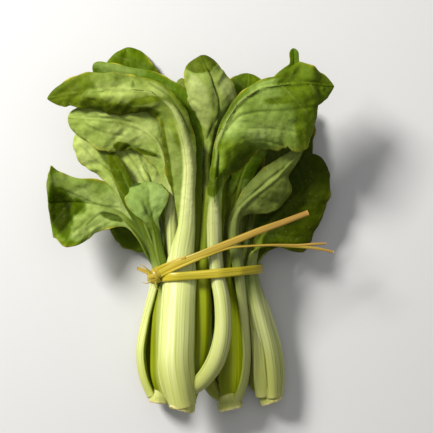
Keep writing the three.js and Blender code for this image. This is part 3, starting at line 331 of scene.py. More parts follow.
# Each leaf. A row of the stalk or the neck is x, y, z, the way that its back faces in degrees, half-width
# and depth of curl; tie is such a row without its y. A row of the blade is x, y, z of the midrib, then how
# far out and up the margin is, for the left and the right, or once where both are alike; after that it may
# have a fold, which places the middle of one half, and degrees that the row leans. A leaf without a stalk
# of its own has its ring's, which faces the way out.
LEAVES = [
    {
        "name": "front_leaf_a", "ring": "outer", "up": "back", "ruffle": 0.0012,
        "taper": 0.7, "bluntness": 1.4,
        "stalk": [
            (-0.0055, -0.132, 0.0475, 0, 0.0094, 0.0044), (-0.009, -0.114, 0.0515, -3, 0.012, 0.006),
            (-0.011, -0.098, 0.0535, -4, 0.013, 0.006), (-0.0105, -0.076, 0.053, -5, 0.013, 0.0054),
            (-0.0095, -0.053, 0.0506, -6, 0.0124, 0.0046),
        ],
        "tie": (-0.008, 0.0474, -6, 0.0118, 0.0036),
        "neck": [(-0.006, -0.015, 0.0495, -8, 0.0086, 0.0022), (-0.003, 0.003, 0.053, -8, 0.0062, 0.0014)],
        "blade": [
            (-0.0015, 0.025, 0.057, 0.012, -0.004, 0.0045, -0.001),
            (-0.0008, 0.047, 0.061, 0.017, -0.005, 0.0055, -0.002),
            (-0.0045, 0.068, 0.065, 0.017, -0.007, 0.007, -0.003),
            (-0.0125, 0.087, 0.068, 0.012, -0.008, 0.008, -0.003),
            (-0.027, 0.0975, 0.069, 0.014, -0.009, 0.009, -0.002, ("left", 0.007, 0)),
            (-0.049, 0.1005, 0.067, 0.0155, -0.009, 0.0115, 0, ("left", 0.007, 0)),
            (-0.072, 0.0995, 0.064, 0.0125, -0.006, 0.014, 0.001, ("left", 0.006, 0)),
            (-0.089, 0.098, 0.06, 0.008, -0.004, 0.01, 0),
        ],
        "tip": (-0.1045, 0.0955, 0.055),
    },
    {
        "name": "front_leaf_b", "ring": "outer", "up": "back", "ruffle": 0.0003, "bluntness": 1.3,
        "stalk": [
            (0, -0.121, 0.04, 50, 0.0058, 0.0032), (0.009, -0.114, 0.046, 36, 0.0068, 0.0034),
            (0.018, -0.101, 0.05, 26, 0.0072, 0.0032), (0.023, -0.086, 0.0515, 20, 0.0067, 0.003),
            (0.0248, -0.07, 0.0516, 16, 0.0062, 0.0028), (0.0236, -0.052, 0.0506, 13, 0.0057, 0.0024),
        ],
        "tie": (0.02, 0.0484, 10, 0.0052, 0.002),
        "neck": [(0.018, -0.015, 0.051, 5, 0.0052, 0.0018), (0.0174, 0.004, 0.054, 0, 0.0052, 0.0016)],
        "blade": [
            (0.0172, 0.022, 0.057, 0.0054, -0.001, 0.006, -0.001),
            (0.0176, 0.036, 0.06, 0.0038, -0.001, 0.008, -0.005, ("right", 0.004, 0)),
            (0.0192, 0.05, 0.063, 0.0034, -0.001, 0.019, -0.013, ("right", 0.009, 0.0005)),
            (0.0226, 0.066, 0.066, 0.0034, -0.001, 0.03, -0.017, ("right", 0.014, 0.001)),
            (0.0285, 0.081, 0.0685, 0.004, -0.001, 0.0375, -0.014, ("right", 0.02, -0.001), -7),
            (0.038, 0.093, 0.07, 0.0046, -0.001, 0.044, -0.014, None, -2.5),
            (0.052, 0.1015, 0.0705, 0.0056, -0.001, 0.047, -0.014, None, 4),
            (0.067, 0.104, 0.0695, 0.008, 0.001, 0.048, -0.013, None, 4.5),
            (0.08, 0.105, 0.0675, 0.016, -0.005, 0.046, -0.012, None, 2),
            (0.089, 0.1053, 0.0645, 0.012, 0.002, 0.039, -0.01),
            (0.094, 0.105, 0.063, 0.008, -0.002, 0.015, -0.005),
        ],
        "tip": (0.1046, 0.104, 0.059),
    },
    {
        "name": "front_leaf_c", "ring": "outer", "out": -112, "up": "back", "ruffle": 0.0018,
        "tie": (-0.013, 0.0386, -60, 0.006, 0.002),
        "neck": [
            (-0.014, -0.015, 0.0405, -35, 0.0054, 0.0016), (-0.015, 0.005, 0.044, -20, 0.0048, 0.0012),
        ],
        "blade": [
            (-0.014, 0.025, 0.0465, 0.005, -0.002, 0.005, -0.001),
            (-0.018, 0.047, 0.049, 0.008, -0.003, 0.009, -0.001),
            (-0.026, 0.066, 0.0515, 0.015, -0.005, 0.013, -0.001),
            (-0.042, 0.076, 0.054, 0.02, -0.006, 0.014, 0),
            (-0.06, 0.079, 0.054, 0.021, -0.006, 0.014, -0.001),
            (-0.076, 0.0805, 0.052, 0.015, -0.005, 0.009, -0.001),
        ],
        "tip": (-0.09, 0.082, 0.049),
    },
    {
        "name": "front_leaf_d", "ring": "outer", "out": 140, "up": "face", "ruffle": 0.0014,
        "tie": (0.014, 0.0356, 160, 0.0056, 0.0018),
        "neck": [(0.018, -0.014, 0.0354, 175, 0.005, 0.0014), (0.021, 0.008, 0.0346, 180, 0.0046, 0.001)],
        "blade": [
            (0.024, 0.028, 0.034, 0.008, 0.001), (0.031, 0.058, 0.0334, 0.018, 0.002),
            (0.037, 0.081, 0.0336, 0.02, 0.002), (0.041, 0.1, 0.032, 0.016, 0.001, 0.017, 0.001),
        ],
        "tip": (0.043, 0.116, 0.0295),
    },
    {
        "name": "front_leaf_e", "ring": "inner", "up": "back", "ruffle": 0.001,
        "stalk": [
            (-0.001, -0.129, 0.04, 10, 0.004, 0.0016), (0.003, -0.112, 0.042, 10, 0.0058, 0.002),
            (0.0075, -0.092, 0.043, 8, 0.0068, 0.0024), (0.009, -0.06, 0.043, 4, 0.0064, 0.0022),
        ],
        "tie": (0.0088, 0.042, 2, 0.0052, 0.0016),
        "neck": [(0.0105, -0.015, 0.0445, 0, 0.0044, 0.0012), (0.012, 0.008, 0.048, 0, 0.0038, 0.001)],
        "blade": [
            (0.0132, 0.032, 0.051, 0.0034, -0.001), (0.0135, 0.054, 0.054, 0.004, -0.001, 0.0036, -0.001),
            (0.0164, 0.0695, 0.057, 0.008, -0.003, 0.004, -0.003),
            (0.0194, 0.083, 0.0595, 0.015, -0.004, 0.006, -0.005, ("left", 0.009, 0.002)),
            (0.0196, 0.095, 0.0605, 0.021, -0.005, 0.013, -0.006, ("left", 0.012, 0.002)),
            (0.0162, 0.107, 0.06, 0.021, -0.005, 0.012, -0.006, ("left", 0.012, 0.002)),
            (0.0116, 0.1165, 0.058, 0.016, -0.003, 0.009, -0.004),
        ],
        "tip": (0.0074, 0.1266, 0.0545),
    },
    {
        "name": "front_leaf_f", "ring": "inner", "out": 212, "up": "face", "ruffle": 0.0014,
        "tie": (0.0006, 0.0404, 182, 0.0038, 0.001),
        "neck": [(0.0034, -0.015, 0.0424, 180, 0.0038, 0.001), (0.005, 0.01, 0.046, 180, 0.0034, 0.0008)],
        "blade": [
            (0.0046, 0.04, 0.05, 0.004, 0.001), (0.002, 0.068, 0.0535, 0.0055, 0.001, 0.007, 0.001),
            (-0.006, 0.09, 0.053, 0.007, -0.001, 0.011, 0.002),
            (-0.02, 0.102, 0.052, 0.009, -0.003, 0.009, 0.001),
            (-0.036, 0.109, 0.05, 0.01, -0.003, 0.009, 0),
            (-0.052, 0.114, 0.048, 0.01, -0.003, 0.0065, -0.001),
            (-0.063, 0.118, 0.0465, 0.008, -0.003, 0.005, -0.001),
        ],
        "tip": (-0.072, 0.121, 0.045),
    },
    {
        "name": "left_leaf_a", "ring": "outer", "out": -92, "up": "back", "ruffle": 0.0014,
        "tie": (-0.0264, 0.0315, -80, 0.0058, 0.0018),
        "neck": [
            (-0.029, -0.016, 0.034, -70, 0.005, 0.0016), (-0.0365, 0, 0.038, -55, 0.0046, 0.0014),
            (-0.0455, 0.017, 0.0415, -40, 0.0044, 0.001),
        ],
        "blade": [
            (-0.053, 0.032, 0.0435, 0.005, -0.002, 0.005, 0.001),
            (-0.062, 0.047, 0.044, 0.011, -0.004, 0.007, 0.001),
            (-0.0705, 0.0585, 0.044, 0.014, -0.004, 0.009, 0),
            (-0.0775, 0.066, 0.0435, 0.011, -0.003, 0.009, -0.001),
        ],
        "tip": (-0.0835, 0.072, 0.042),
    },
    {
        "name": "left_leaf_b", "ring": "inner", "up": "back", "ruffle": 0.001,
        "stalk": [
            (-0.0205, -0.1265, 0.0195, 5, 0.0046, 0.002), (-0.0238, -0.112, 0.0216, 3, 0.006, 0.0024),
            (-0.024, -0.093, 0.0226, 0, 0.0064, 0.0024), (-0.023, -0.064, 0.028, -8, 0.0056, 0.002),
        ],
        "tie": (-0.0204, 0.038, -40, 0.0048, 0.0014),
        "neck": [
            (-0.024, -0.016, 0.0425, -30, 0.004, 0.0012), (-0.026, -0.003, 0.0475, -15, 0.0036, 0.001),
        ],
        "blade": [
            (-0.029, 0.0065, 0.0508, 0.005, 0.001, 0.006, 0.001),
            (-0.0308, 0.0155, 0.0528, 0.014, -0.001, 0.013, 0),
            (-0.0315, 0.0235, 0.0532, 0.017, -0.0025, 0.015, -0.001),
            (-0.032, 0.0295, 0.0514, 0.014, -0.0025, 0.012, -0.002),
        ],
        "tip": (-0.033, 0.034, 0.0486),
    },
    {
        "name": "left_leaf_c", "ring": "outer", "out": 178, "up": "face", "ruffle": 0.0012,
        "tie": (-0.0175, 0.0138, 190, 0.0064, 0.0022),
        "neck": [(-0.024, -0.017, 0.012, 185, 0.0054, 0.0016)],
        "blade": [
            (-0.037, -0.008, 0.0115, 0.012, -0.003, 0.008, 0.001),
            (-0.048, 0, 0.012, 0.013, -0.004, 0.016, 0.002),
            (-0.059, 0.009, 0.012, 0.01, -0.003, 0.018, 0.002),
            (-0.068, 0.017, 0.011, 0.008, -0.002, 0.014, 0.001),
        ],
        "tip": (-0.077, 0.025, 0.009),
    },
    {
        "name": "left_leaf_d", "ring": "inner", "out": -125, "up": "face", "ruffle": 0.0018,
        "tie": (-0.0256, 0.0216, -120, 0.005, 0.0016),
        "neck": [
            (-0.031, -0.018, 0.0225, -145, 0.0048, 0.0014), (-0.038, -0.004, 0.0255, -165, 0.0044, 0.001),
        ],
        "blade": [
            (-0.0465, 0.005, 0.028, 0.005, 0.001), (-0.057, 0.0125, 0.029, 0.014, 0.002, 0.021, 0.003),
            (-0.0705, 0.0175, 0.0285, 0.028, 0.008, 0.018, 0.004),
            (-0.084, 0.0195, 0.029, 0.033, 0.011, 0.019, 0.007),
            (-0.095, 0.0195, 0.031, 0.032, 0.011, 0.022, 0.009),
            (-0.1015, 0.019, 0.0335, 0.025, 0.009, 0.028, 0.009),
        ],
        "tip": (-0.106, 0.019, 0.037),
    },
    {
        "name": "left_leaf_e", "ring": "outer", "out": 92, "up": "back", "ruffle": 0.0012,
        "tie": (-0.0124, 0.0312, 20, 0.0054, 0.0016),
        "neck": [(-0.0155, -0.015, 0.0355, 5, 0.0046, 0.0012), (-0.017, 0.001, 0.0385, 0, 0.0044, 0.001)],
        "blade": [
            (-0.021, 0.0155, 0.04, 0.0044, -0.001), (-0.028, 0.029, 0.041, 0.008, -0.002, 0.008, -0.001),
            (-0.0345, 0.0425, 0.0416, 0.015, -0.004, 0.013, -0.001),
            (-0.039, 0.055, 0.0424, 0.018, -0.004, 0.015, -0.001),
            (-0.0435, 0.068, 0.0424, 0.017, -0.003, 0.013, -0.001),
        ],
        "tip": (-0.047, 0.079, 0.0406),
    },
    {
        "name": "left_leaf_f", "ring": "heart", "out": -30, "up": "face", "ruffle": 0.0008,
        "tie": (-0.0234, 0.029, 150, 0.0034, 0.001),
        "neck": [
            (-0.028, -0.015, 0.037, 140, 0.003, 0.0009), (-0.0344, 0.003, 0.043, 150, 0.0028, 0.0008),
        ],
        "blade": [
            (-0.0415, 0.02, 0.0454, 0.004, 0.001, 0.003, 0),
            (-0.0475, 0.033, 0.0468, 0.006, 0.0014, 0.0046, 0),
            (-0.052, 0.043, 0.0472, 0.0066, 0.0014, 0.0046, 0),
            (-0.056, 0.05, 0.0466, 0.005, 0.001, 0.004, 0),
        ],
        "tip": (-0.06, 0.057, 0.045),
    },
    {
        "name": "middle_leaf_a", "ring": "outer", "up": "face", "ruffle": 0.0016,
        "stalk": [
            (0.029, -0.133, 0.0104, 180, 0.0086, 0.004), (0.029, -0.116, 0.0048, 180, 0.012, 0.006),
            (0.029, -0.097, 0.0026, 180, 0.0126, 0.006), (0.0265, -0.07, 0.0062, 180, 0.011, 0.0046),
        ],
        "tie": (0.022, 0.0114, 180, 0.0084, 0.0028),
        "neck": [(0.026, -0.014, 0.0106, 180, 0.0066, 0.002), (0.03, 0.004, 0.01, 180, 0.0056, 0.0014)],
        "blade": [
            (0.034, 0.025, 0.01, 0.014, 0.002), (0.04, 0.05, 0.009, 0.024, 0.002),
            (0.045, 0.075, 0.006, 0.024, 0.001), (0.048, 0.092, 0.0026, 0.017, 0),
        ],
        "tip": (0.05, 0.11, 0.0005),
    },
    {
        "name": "middle_leaf_b", "ring": "outer", "up": "back", "ruffle": 0.001, "bluntness": 1.4,
        "stalk": [
            (0.0345, -0.131, 0.019, 70, 0.005, 0.002), (0.04, -0.115, 0.0205, 82, 0.006, 0.0022),
            (0.0418, -0.097, 0.0225, 86, 0.0064, 0.0022), (0.041, -0.078, 0.026, 84, 0.006, 0.002),
            (0.0388, -0.055, 0.034, 70, 0.0054, 0.002),
        ],
        "tie": (0.0364, 0.0434, 50, 0.005, 0.0018),
        "neck": [
            (0.0336, -0.015, 0.045, 30, 0.0048, 0.0016), (0.0316, -0.002, 0.0455, 15, 0.0044, 0.0012),
        ],
        "blade": [
            (0.034, 0.01, 0.0455, 0.0044, -0.001), (0.0405, 0.019, 0.0455, 0.006, 0, 0.01, -0.005),
            (0.053, 0.029, 0.046, 0.012, 0, 0.019, -0.008),
            (0.064, 0.038, 0.0455, 0.0105, -0.001, 0.014, -0.008),
            (0.069, 0.0435, 0.045, 0.009, -0.001, 0.005, -0.003),
            (0.077, 0.052, 0.044, 0.006, -0.002, 0.003, -0.002),
        ],
        "tip": (0.083, 0.059, 0.042),
    },
    {
        "name": "middle_leaf_c", "ring": "outer", "up": "face", "ruffle": 0.0016,
        "stalk": [
            (0.024, -0.13, 0.0145, -60, 0.0056, 0.0024), (0.016, -0.1235, 0.015, -50, 0.0066, 0.003),
            (0.0105, -0.111, 0.016, -55, 0.0068, 0.003), (0.009, -0.09, 0.017, -70, 0.0066, 0.0028),
            (0.007, -0.062, 0.017, -110, 0.0064, 0.0024),
        ],
        "tie": (0.0034, 0.0156, 205, 0.0066, 0.0022),
        "neck": [(0, -0.014, 0.0126, 185, 0.006, 0.0016), (-0.005, 0.006, 0.011, 180, 0.005, 0.001)],
        "blade": [
            (-0.012, 0.028, 0.0105, 0.012, 0.002), (-0.02, 0.052, 0.0095, 0.021, 0.002, 0.022, 0.002),
            (-0.028, 0.078, 0.006, 0.021, 0.001, 0.022, 0.001), (-0.038, 0.104, 0.0036, 0.02, 0),
            (-0.047, 0.122, 0.0026, 0.022, 0.001, 0.0155, 0.001),
        ],
        "tip": (-0.051, 0.1385, 0.001),
    },
    {
        "name": "middle_leaf_d", "ring": "inner", "up": "face", "ruffle": 0.001,
        "stalk": [
            (0.029, -0.129, 0.019, 180, 0.006, 0.002), (0.0295, -0.114, 0.0225, 182, 0.009, 0.003),
            (0.0295, -0.097, 0.024, 183, 0.0098, 0.0032), (0.029, -0.076, 0.026, 183, 0.0088, 0.0028),
            (0.0275, -0.053, 0.0288, 182, 0.0068, 0.0022),
        ],
        "tie": (0.0254, 0.031, 180, 0.0048, 0.0014),
        "neck": [(0.028, -0.008, 0.0316, 180, 0.0044, 0.0012), (0.032, 0.017, 0.033, 180, 0.0044, 0.001)],
        "blade": [
            (0.037, 0.038, 0.037, 0.007, 0, 0.008, 0), (0.046, 0.058, 0.0415, 0.011, 0.001),
            (0.057, 0.078, 0.0475, 0.012, 0), (0.068, 0.099, 0.055, 0.013, 0, 0.012, 0),
            (0.0744, 0.113, 0.06, 0.009, 0, 0.008, 0), (0.0756, 0.12, 0.062, 0.0034, 0.001, 0.0036, 0.001),
            (0.0754, 0.127, 0.0625, 0.0034, 0.001, 0.0036, 0.001),
        ],
        "tip": (0.075, 0.131, 0.062),
    },
    {
        "name": "middle_leaf_e", "ring": "inner", "out": -100, "up": "back", "ruffle": 0.001,
        "tie": (0.0046, 0.0272, -15, 0.005, 0.0016),
        "neck": [(0.005, -0.015, 0.031, -5, 0.004, 0.0012), (0.0054, 0.008, 0.037, 0, 0.0036, 0.001)],
        "blade": [
            (0.0054, 0.03, 0.042, 0.0034, -0.001), (0.0036, 0.058, 0.0455, 0.0044, -0.001),
            (0.0008, 0.082, 0.0465, 0.007, -0.001, 0.006, -0.001),
            (-0.0025, 0.097, 0.046, 0.009, -0.001, 0.007, -0.001),
        ],
        "tip": (-0.007, 0.111, 0.043),
    },
    {
        "name": "middle_leaf_f", "ring": "heart", "out": -50, "up": "face", "ruffle": 0.0008,
        "tie": (0.0174, 0.0234, 180, 0.004, 0.001),
        "neck": [(0.0165, -0.012, 0.024, 180, 0.0038, 0.001)],
        "blade": [
            (0.017, 0.008, 0.0255, 0.006, 0.001), (0.0185, 0.028, 0.0265, 0.009, 0.001),
            (0.02, 0.045, 0.026, 0.007, 0),
        ],
        "tip": (0.021, 0.057, 0.025),
    },
    {
        "name": "right_leaf_a", "ring": "outer", "out": 18, "up": "face", "ruffle": 0.0018,
        "tie": (0.0456, 0.037, 35, 0.0058, 0.0018),
        "neck": [(0.0475, -0.018, 0.034, 90, 0.005, 0.0014)],
        "blade": [
            (0.0515, -0.006, 0.0305, 0.006, 0.001, 0.015, -0.001),
            (0.061, 0.005, 0.0275, 0.018, 0.002, 0.031, -0.003),
            (0.074, 0.0175, 0.0255, 0.026, 0.003, 0.029, -0.003),
            (0.086, 0.032, 0.0245, 0.024, 0.003, 0.02, -0.003),
            (0.0935, 0.044, 0.0235, 0.018, 0.002, 0.012, -0.002),
        ],
        "tip": (0.0955, 0.055, 0.022),
    },
    {
        "name": "right_leaf_b", "ring": "outer", "out": 108, "up": "face", "ruffle": 0.0012,
        "tie": (0.047, 0.02, 125, 0.0056, 0.0018),
        "neck": [(0.0505, -0.019, 0.0155, 160, 0.0054, 0.0014)],
        "blade": [
            (0.056, -0.009, 0.013, 0.009, 0.001, 0.01, -0.001),
            (0.066, 0.002, 0.011, 0.015, 0.001, 0.016, -0.001),
            (0.079, 0.014, 0.0095, 0.017, 0.001, 0.017, -0.001),
            (0.09, 0.026, 0.008, 0.013, 0, 0.013, -0.001),
        ],
        "tip": (0.099, 0.036, 0.005),
    },
    {
        "name": "right_leaf_c", "ring": "outer", "out": 186, "up": "face", "ruffle": 0.001,
        "tie": (0.0386, 0.0116, 180, 0.0064, 0.002),
        "neck": [(0.046, -0.014, 0.008, 180, 0.0056, 0.0014), (0.052, 0.002, 0.006, 180, 0.005, 0.001)],
        "blade": [
            (0.06, 0.02, 0.0044, 0.012, 0), (0.07, 0.042, 0.0036, 0.02, 0, 0.019, 0),
            (0.077, 0.062, 0.0026, 0.018, 0), (0.082, 0.078, 0.0014, 0.012, 0),
        ],
        "tip": (0.086, 0.09, 0.0004),
    },
    {
        "name": "right_leaf_d", "ring": "inner", "up": "back", "ruffle": 0.0012,
        "stalk": [
            (0.056, -0.1265, 0.011, -80, 0.0048, 0.002), (0.048, -0.1215, 0.011, -62, 0.006, 0.0024),
            (0.045, -0.11, 0.0115, -60, 0.0062, 0.0026), (0.045, -0.09, 0.014, -60, 0.006, 0.0024),
            (0.042, -0.062, 0.02, -40, 0.0056, 0.002),
        ],
        "tie": (0.0384, 0.027, 20, 0.005, 0.0016),
        "neck": [(0.042, -0.014, 0.0255, 10, 0.0046, 0.0012), (0.046, 0.004, 0.0215, 0, 0.0044, 0.001)],
        "blade": [
            (0.052, 0.024, 0.0185, 0.009, -0.001), (0.062, 0.046, 0.0175, 0.016, -0.002, 0.016, -0.001),
            (0.072, 0.068, 0.017, 0.016, -0.002, 0.016, -0.001), (0.079, 0.084, 0.0165, 0.01, -0.001),
        ],
        "tip": (0.084, 0.096, 0.015),
    },
    {
        "name": "right_leaf_e", "ring": "outer", "up": "back", "ruffle": 0.001,
        "stalk": [
            (0.053, -0.1275, 0.019, -45, 0.006, 0.0024), (0.0505, -0.112, 0.0205, -60, 0.0076, 0.003),
            (0.049, -0.093, 0.0215, -66, 0.0078, 0.003), (0.0455, -0.068, 0.023, -64, 0.0066, 0.0024),
        ],
        "tie": (0.0304, 0.022, -30, 0.0048, 0.0014),
        "neck": [(0.0335, -0.012, 0.023, 0, 0.0046, 0.0012)],
        "blade": [
            (0.036, 0.012, 0.024, 0.007, -0.001), (0.0395, 0.036, 0.025, 0.012, -0.001),
            (0.043, 0.06, 0.025, 0.012, -0.001), (0.0455, 0.078, 0.024, 0.008, -0.001),
        ],
        "tip": (0.047, 0.09, 0.023),
    },
]

# The loose ends of the straw, from the knot outward: x, y, z, width, thickness
ENDS = {
    "thick": [
        (-0.029, -0.036, 0.0435, 0.005, 0.002), (-0.02, -0.0316, 0.0485, 0.0054, 0.002),
        (-0.0082, -0.0252, 0.0526, 0.0054, 0.002), (0.0068, -0.0193, 0.0554, 0.0056, 0.002),
        (0.0218, -0.0131, 0.0566, 0.0056, 0.002), (0.0368, -0.007, 0.0556, 0.0054, 0.002),
        (0.0518, -0.001, 0.0536, 0.005, 0.0018), (0.0668, 0.0043, 0.051, 0.0046, 0.0017),
        (0.0868, 0.0118, 0.047, 0.004, 0.0016),
    ],
    "thin": [
        (-0.024, -0.036, 0.0465, 0.0022, 0.0016), (-0.008, -0.0284, 0.0534, 0.0022, 0.0016),
        (0.01, -0.0206, 0.056, 0.0022, 0.0015), (0.0278, -0.0142, 0.0564, 0.002, 0.0014),
        (0.044, -0.0126, 0.0545, 0.0016, 0.0013), (0.062, -0.012, 0.052, 0.0018, 0.0013),
        (0.08, -0.0122, 0.0494, 0.002, 0.0012), (0.092, -0.0113, 0.0476, 0.002, 0.0012),
        (0.1, -0.011, 0.0464, 0.0016, 0.001),
    ],
    "split": [
        (0.062, -0.0124, 0.0516, 0.0016, 0.0012), (0.08, -0.0134, 0.0492, 0.0018, 0.0012),
        (0.093, -0.0146, 0.0472, 0.0022, 0.0012), (0.1056, -0.0172, 0.0452, 0.0018, 0.001),
    ],
    "second": [
        (-0.027, -0.031, 0.0445, 0.003, 0.0016), (-0.02, -0.0276, 0.0486, 0.003, 0.0016),
        (-0.01, -0.0234, 0.052, 0.0028, 0.0014), (-0.0035, -0.021, 0.0546, 0.0024, 0.0012),
    ],
    "short": [
        (-0.022, -0.0365, 0.0455, 0.0036, 0.0016), (-0.03, -0.033, 0.0452, 0.0032, 0.0015),
        (-0.0395, -0.0292, 0.0436, 0.0026, 0.0014),
    ],
}


# Curves and leaf surfaces
def spline_at(points, spots):
    """Centripetal Catmull-Rom through points; a spot of 2.5 is halfway from the third point to the fourth."""
    points = np.asarray(points, float)
    ends = np.vstack([2 * points[0] - points[1], points, 2 * points[-1] - points[-2]])
    i = np.clip(np.floor(spots).astype(int), 0, len(points) - 2)
    t = (spots - i)[:, None]
    p0, p1, p2, p3 = (ends[i + k] for k in range(4))

    def gap(a, b):
        return np.maximum(np.sqrt(np.linalg.norm(b - a, axis=1)), 1e-4)[:, None]

    d0, d1, d2 = gap(p0, p1), gap(p1, p2), gap(p2, p3)
    m1 = ((p1 - p0) / d0 - (p2 - p0) / (d0 + d1) + (p2 - p1) / d1) * d1
    m2 = ((p2 - p1) / d1 - (p3 - p1) / (d1 + d2) + (p3 - p2) / d2) * d1
    return (
        p1 * (2 * t**3 - 3 * t**2 + 1) + m1 * (t**3 - 2 * t**2 + t)
        + p2 * (3 * t**2 - 2 * t**3) + m2 * (t**3 - t**2)
    )


def unit(v):
    return v / np.maximum(np.linalg.norm(v, axis=-1, keepdims=True), 1e-12)


def smooth(low, high, x):
    """Climbs from 0 at low to 1 at high, level at both ends."""
    t = np.clip((x - low) / (high - low), 0, 1)
    return t * t * (3 - 2 * t)


def wobble(x, seed, waves=5):
    """A smooth, repeatable, irregular wave of about unit size."""
    rng = np.random.default_rng(seed)
    total = np.zeros_like(x)
    for k in range(waves):
        total += np.sin(x * (1 + 0.8 * k + 0.3 * rng.random()) + 6.28 * rng.random()) / (1 + 0.7 * k)
    return total / 1.6


def travelled(line):
    """Distance travelled along a line at each of its points."""
    return np.append(0, np.cumsum(np.linalg.norm(np.diff(line, axis=0), axis=1)))


def outward(degrees):
    a = math.radians(degrees)
    return np.array([math.sin(a), 0, math.cos(a)])


def on_axis(head, y):
    """The point where a head's axis passes y."""
    spots = np.linspace(0, len(head["axis"]) - 1, 400)
    curve = spline_at(head["axis"], spots)
    return np.array([np.interp(y, curve[:, 1], curve[:, k]) for k in range(3)])


def head_of(leaf):
    return leaf["name"].split("_")[0]


def own(table, leaf, otherwise):
    """What a table says of a leaf, or else of its ring, its head or the others."""
    return table.get(leaf["name"], table[otherwise])


def stems_of(leaf):
    """A leaf's rows from the foot of its stalk to the end of its neck."""
    head = HEADS[head_of(leaf)]
    stalk = leaf.get("stalk")
    if stalk is None:
        stalk = []
        for up, radius, half, depth in RINGS[leaf["ring"]]["rows"]:
            place = on_axis(head, head["axis"][0][1] + up) + outward(leaf["out"]) * radius * head["girth"]
            stalk.append((*place, leaf["out"], half * head["girth"], depth * head["girth"]))
    tie_x, tie_z, tie_out, tie_half, tie_depth = leaf["tie"]
    return [*stalk, (tie_x, TIE_Y, tie_z, tie_out, tie_half, tie_depth), *leaf["neck"]]


def blade_points(row, middle, along):
    """The five points across a blade at one of its rows, from left to right."""
    left, left_rise, right, right_rise = row[3:7] if len(row) > 5 else row[3:] * 2
    fold, lean = row[7:] + (None, 0)[max(0, len(row) - 7):]
    ahead = unit(along * (1, 1, 0))
    turned = math.atan2(-ahead[0], ahead[1]) + math.radians(lean)
    to_right = np.array([math.cos(turned), math.sin(turned), 0])
    halfway = {
        "left": (left / 2, left_rise / 2 + DOMING * abs(left)),
        "right": (right / 2, right_rise / 2 + DOMING * abs(right)),
    }
    if fold:
        halfway[fold[0]] = fold[1:]
    (left_out, left_mid), (right_out, right_mid) = halfway["left"], halfway["right"]
    reach = ((-left, left_rise), (-left_out, left_mid), (0, 0), (right_out, right_mid), (right, right_rise))
    return [middle + to_right * out + (0, 0, rise) for out, rise in reach]


def rows_of(leaf):
    """Rows from the foot to the last before the tip: points, rib half-width, rib and margin thickness."""
    stems = stems_of(leaf)
    blade = leaf["blade"]
    spine = np.array([row[:3] for row in [*stems, *blade, leaf["tip"]]])
    last = len(spine) - 1
    along = unit(np.array([spine[min(i + 1, last)] - spine[max(i - 1, 0)] for i in range(last + 1)]))
    rows = []
    for i, (_, _, _, out, half, depth) in enumerate(stems):
        side = unit(np.cross(along[i], outward(out)))
        back = np.cross(side, along[i])
        share = i / (len(stems) + len(blade))
        rows.append({
            "points": [spine[i] + side * u * half - back * depth * u * u for u in (-1, -0.5, 0, 0.5, 1)],
            "rib": half,
            "thick": RINGS[leaf["ring"]]["thickness"] * (1 - STALK_THINNING * share),
            "edge": STALK_EDGE + (BLADE_THICKNESS - STALK_EDGE) * share,
        })
    first_rib = stems[-1][4]
    first_thick = rows[-1]["thick"]
    for k, row in enumerate(blade):
        i = len(stems) + k
        points = blade_points(row, spine[i], along[i])
        share = (k + 1) / (len(blade) + 1)
        rows.append({
            "points": points[::-1] if leaf["up"] == "face" else points,
            "rib": first_rib + (TIP_RIB_HALF_WIDTH - first_rib) * share ** leaf.get("taper", 0.3),
            "thick": first_thick + (TIP_RIB - first_thick) * share,
            "edge": BLADE_THICKNESS,
        })
    return rows, len(stems), np.array(leaf["tip"])


def sampled(rows, first, last, tip=None, bluntness=2):
    """Fine rows between two of the given ones, and on to the tip: points (n, 5, 3), and the rows' facts."""
    points = np.array([row["points"] for row in rows])
    length = np.linalg.norm(np.diff(points[:, 2], axis=0), axis=1)[first:last]
    steps = np.maximum(2, np.round(length / FINE_STEP)).astype(int)
    spots = np.concatenate([first + k + np.arange(n) / n for k, n in enumerate(steps)] + [[last]])
    columns = np.stack([spline_at(points[:, c], spots) for c in range(5)], axis=1)
    index = np.arange(len(rows))
    facts = {key: np.interp(spots, index, [row[key] for row in rows]) for key in ("rib", "thick", "edge")}
    if tip is not None:
        t = np.sin(np.linspace(0, np.pi / 2, TIP_ROWS)[1:])
        narrow = np.maximum(0.03, (1 - t**bluntness) ** (1 / bluntness))
        middle = points[last, 2] + (tip - points[last, 2]) * t[:, None]
        cap = middle[:, None] + (points[last] - points[last, 2]) * narrow[:, None, None]
        columns = np.concatenate([columns, cap])
        facts["rib"] = np.append(facts["rib"], facts["rib"][-1] * narrow**0.3)
        facts["thick"] = np.append(facts["thick"], np.full(len(t), TIP_RIB))
        facts["edge"] = np.append(facts["edge"], np.full(len(t), BLADE_THICKNESS))
    return columns, facts


def drawn_margin(t, s, side, wide, seed):
    """An irregular outline: the margin draws in and out a little along its length."""
    waves = np.where(side < 0, wobble(s / 0.0085, seed, 6), wobble(s / 0.0095, seed + 50, 6))
    draw = 1 + MARGIN_DRAW / np.maximum(wide, 0.012) * smooth(0.01, 0.03, s) * waves
    return t * np.where(t > 0.02, 1 - (1 - draw) * t, 1)


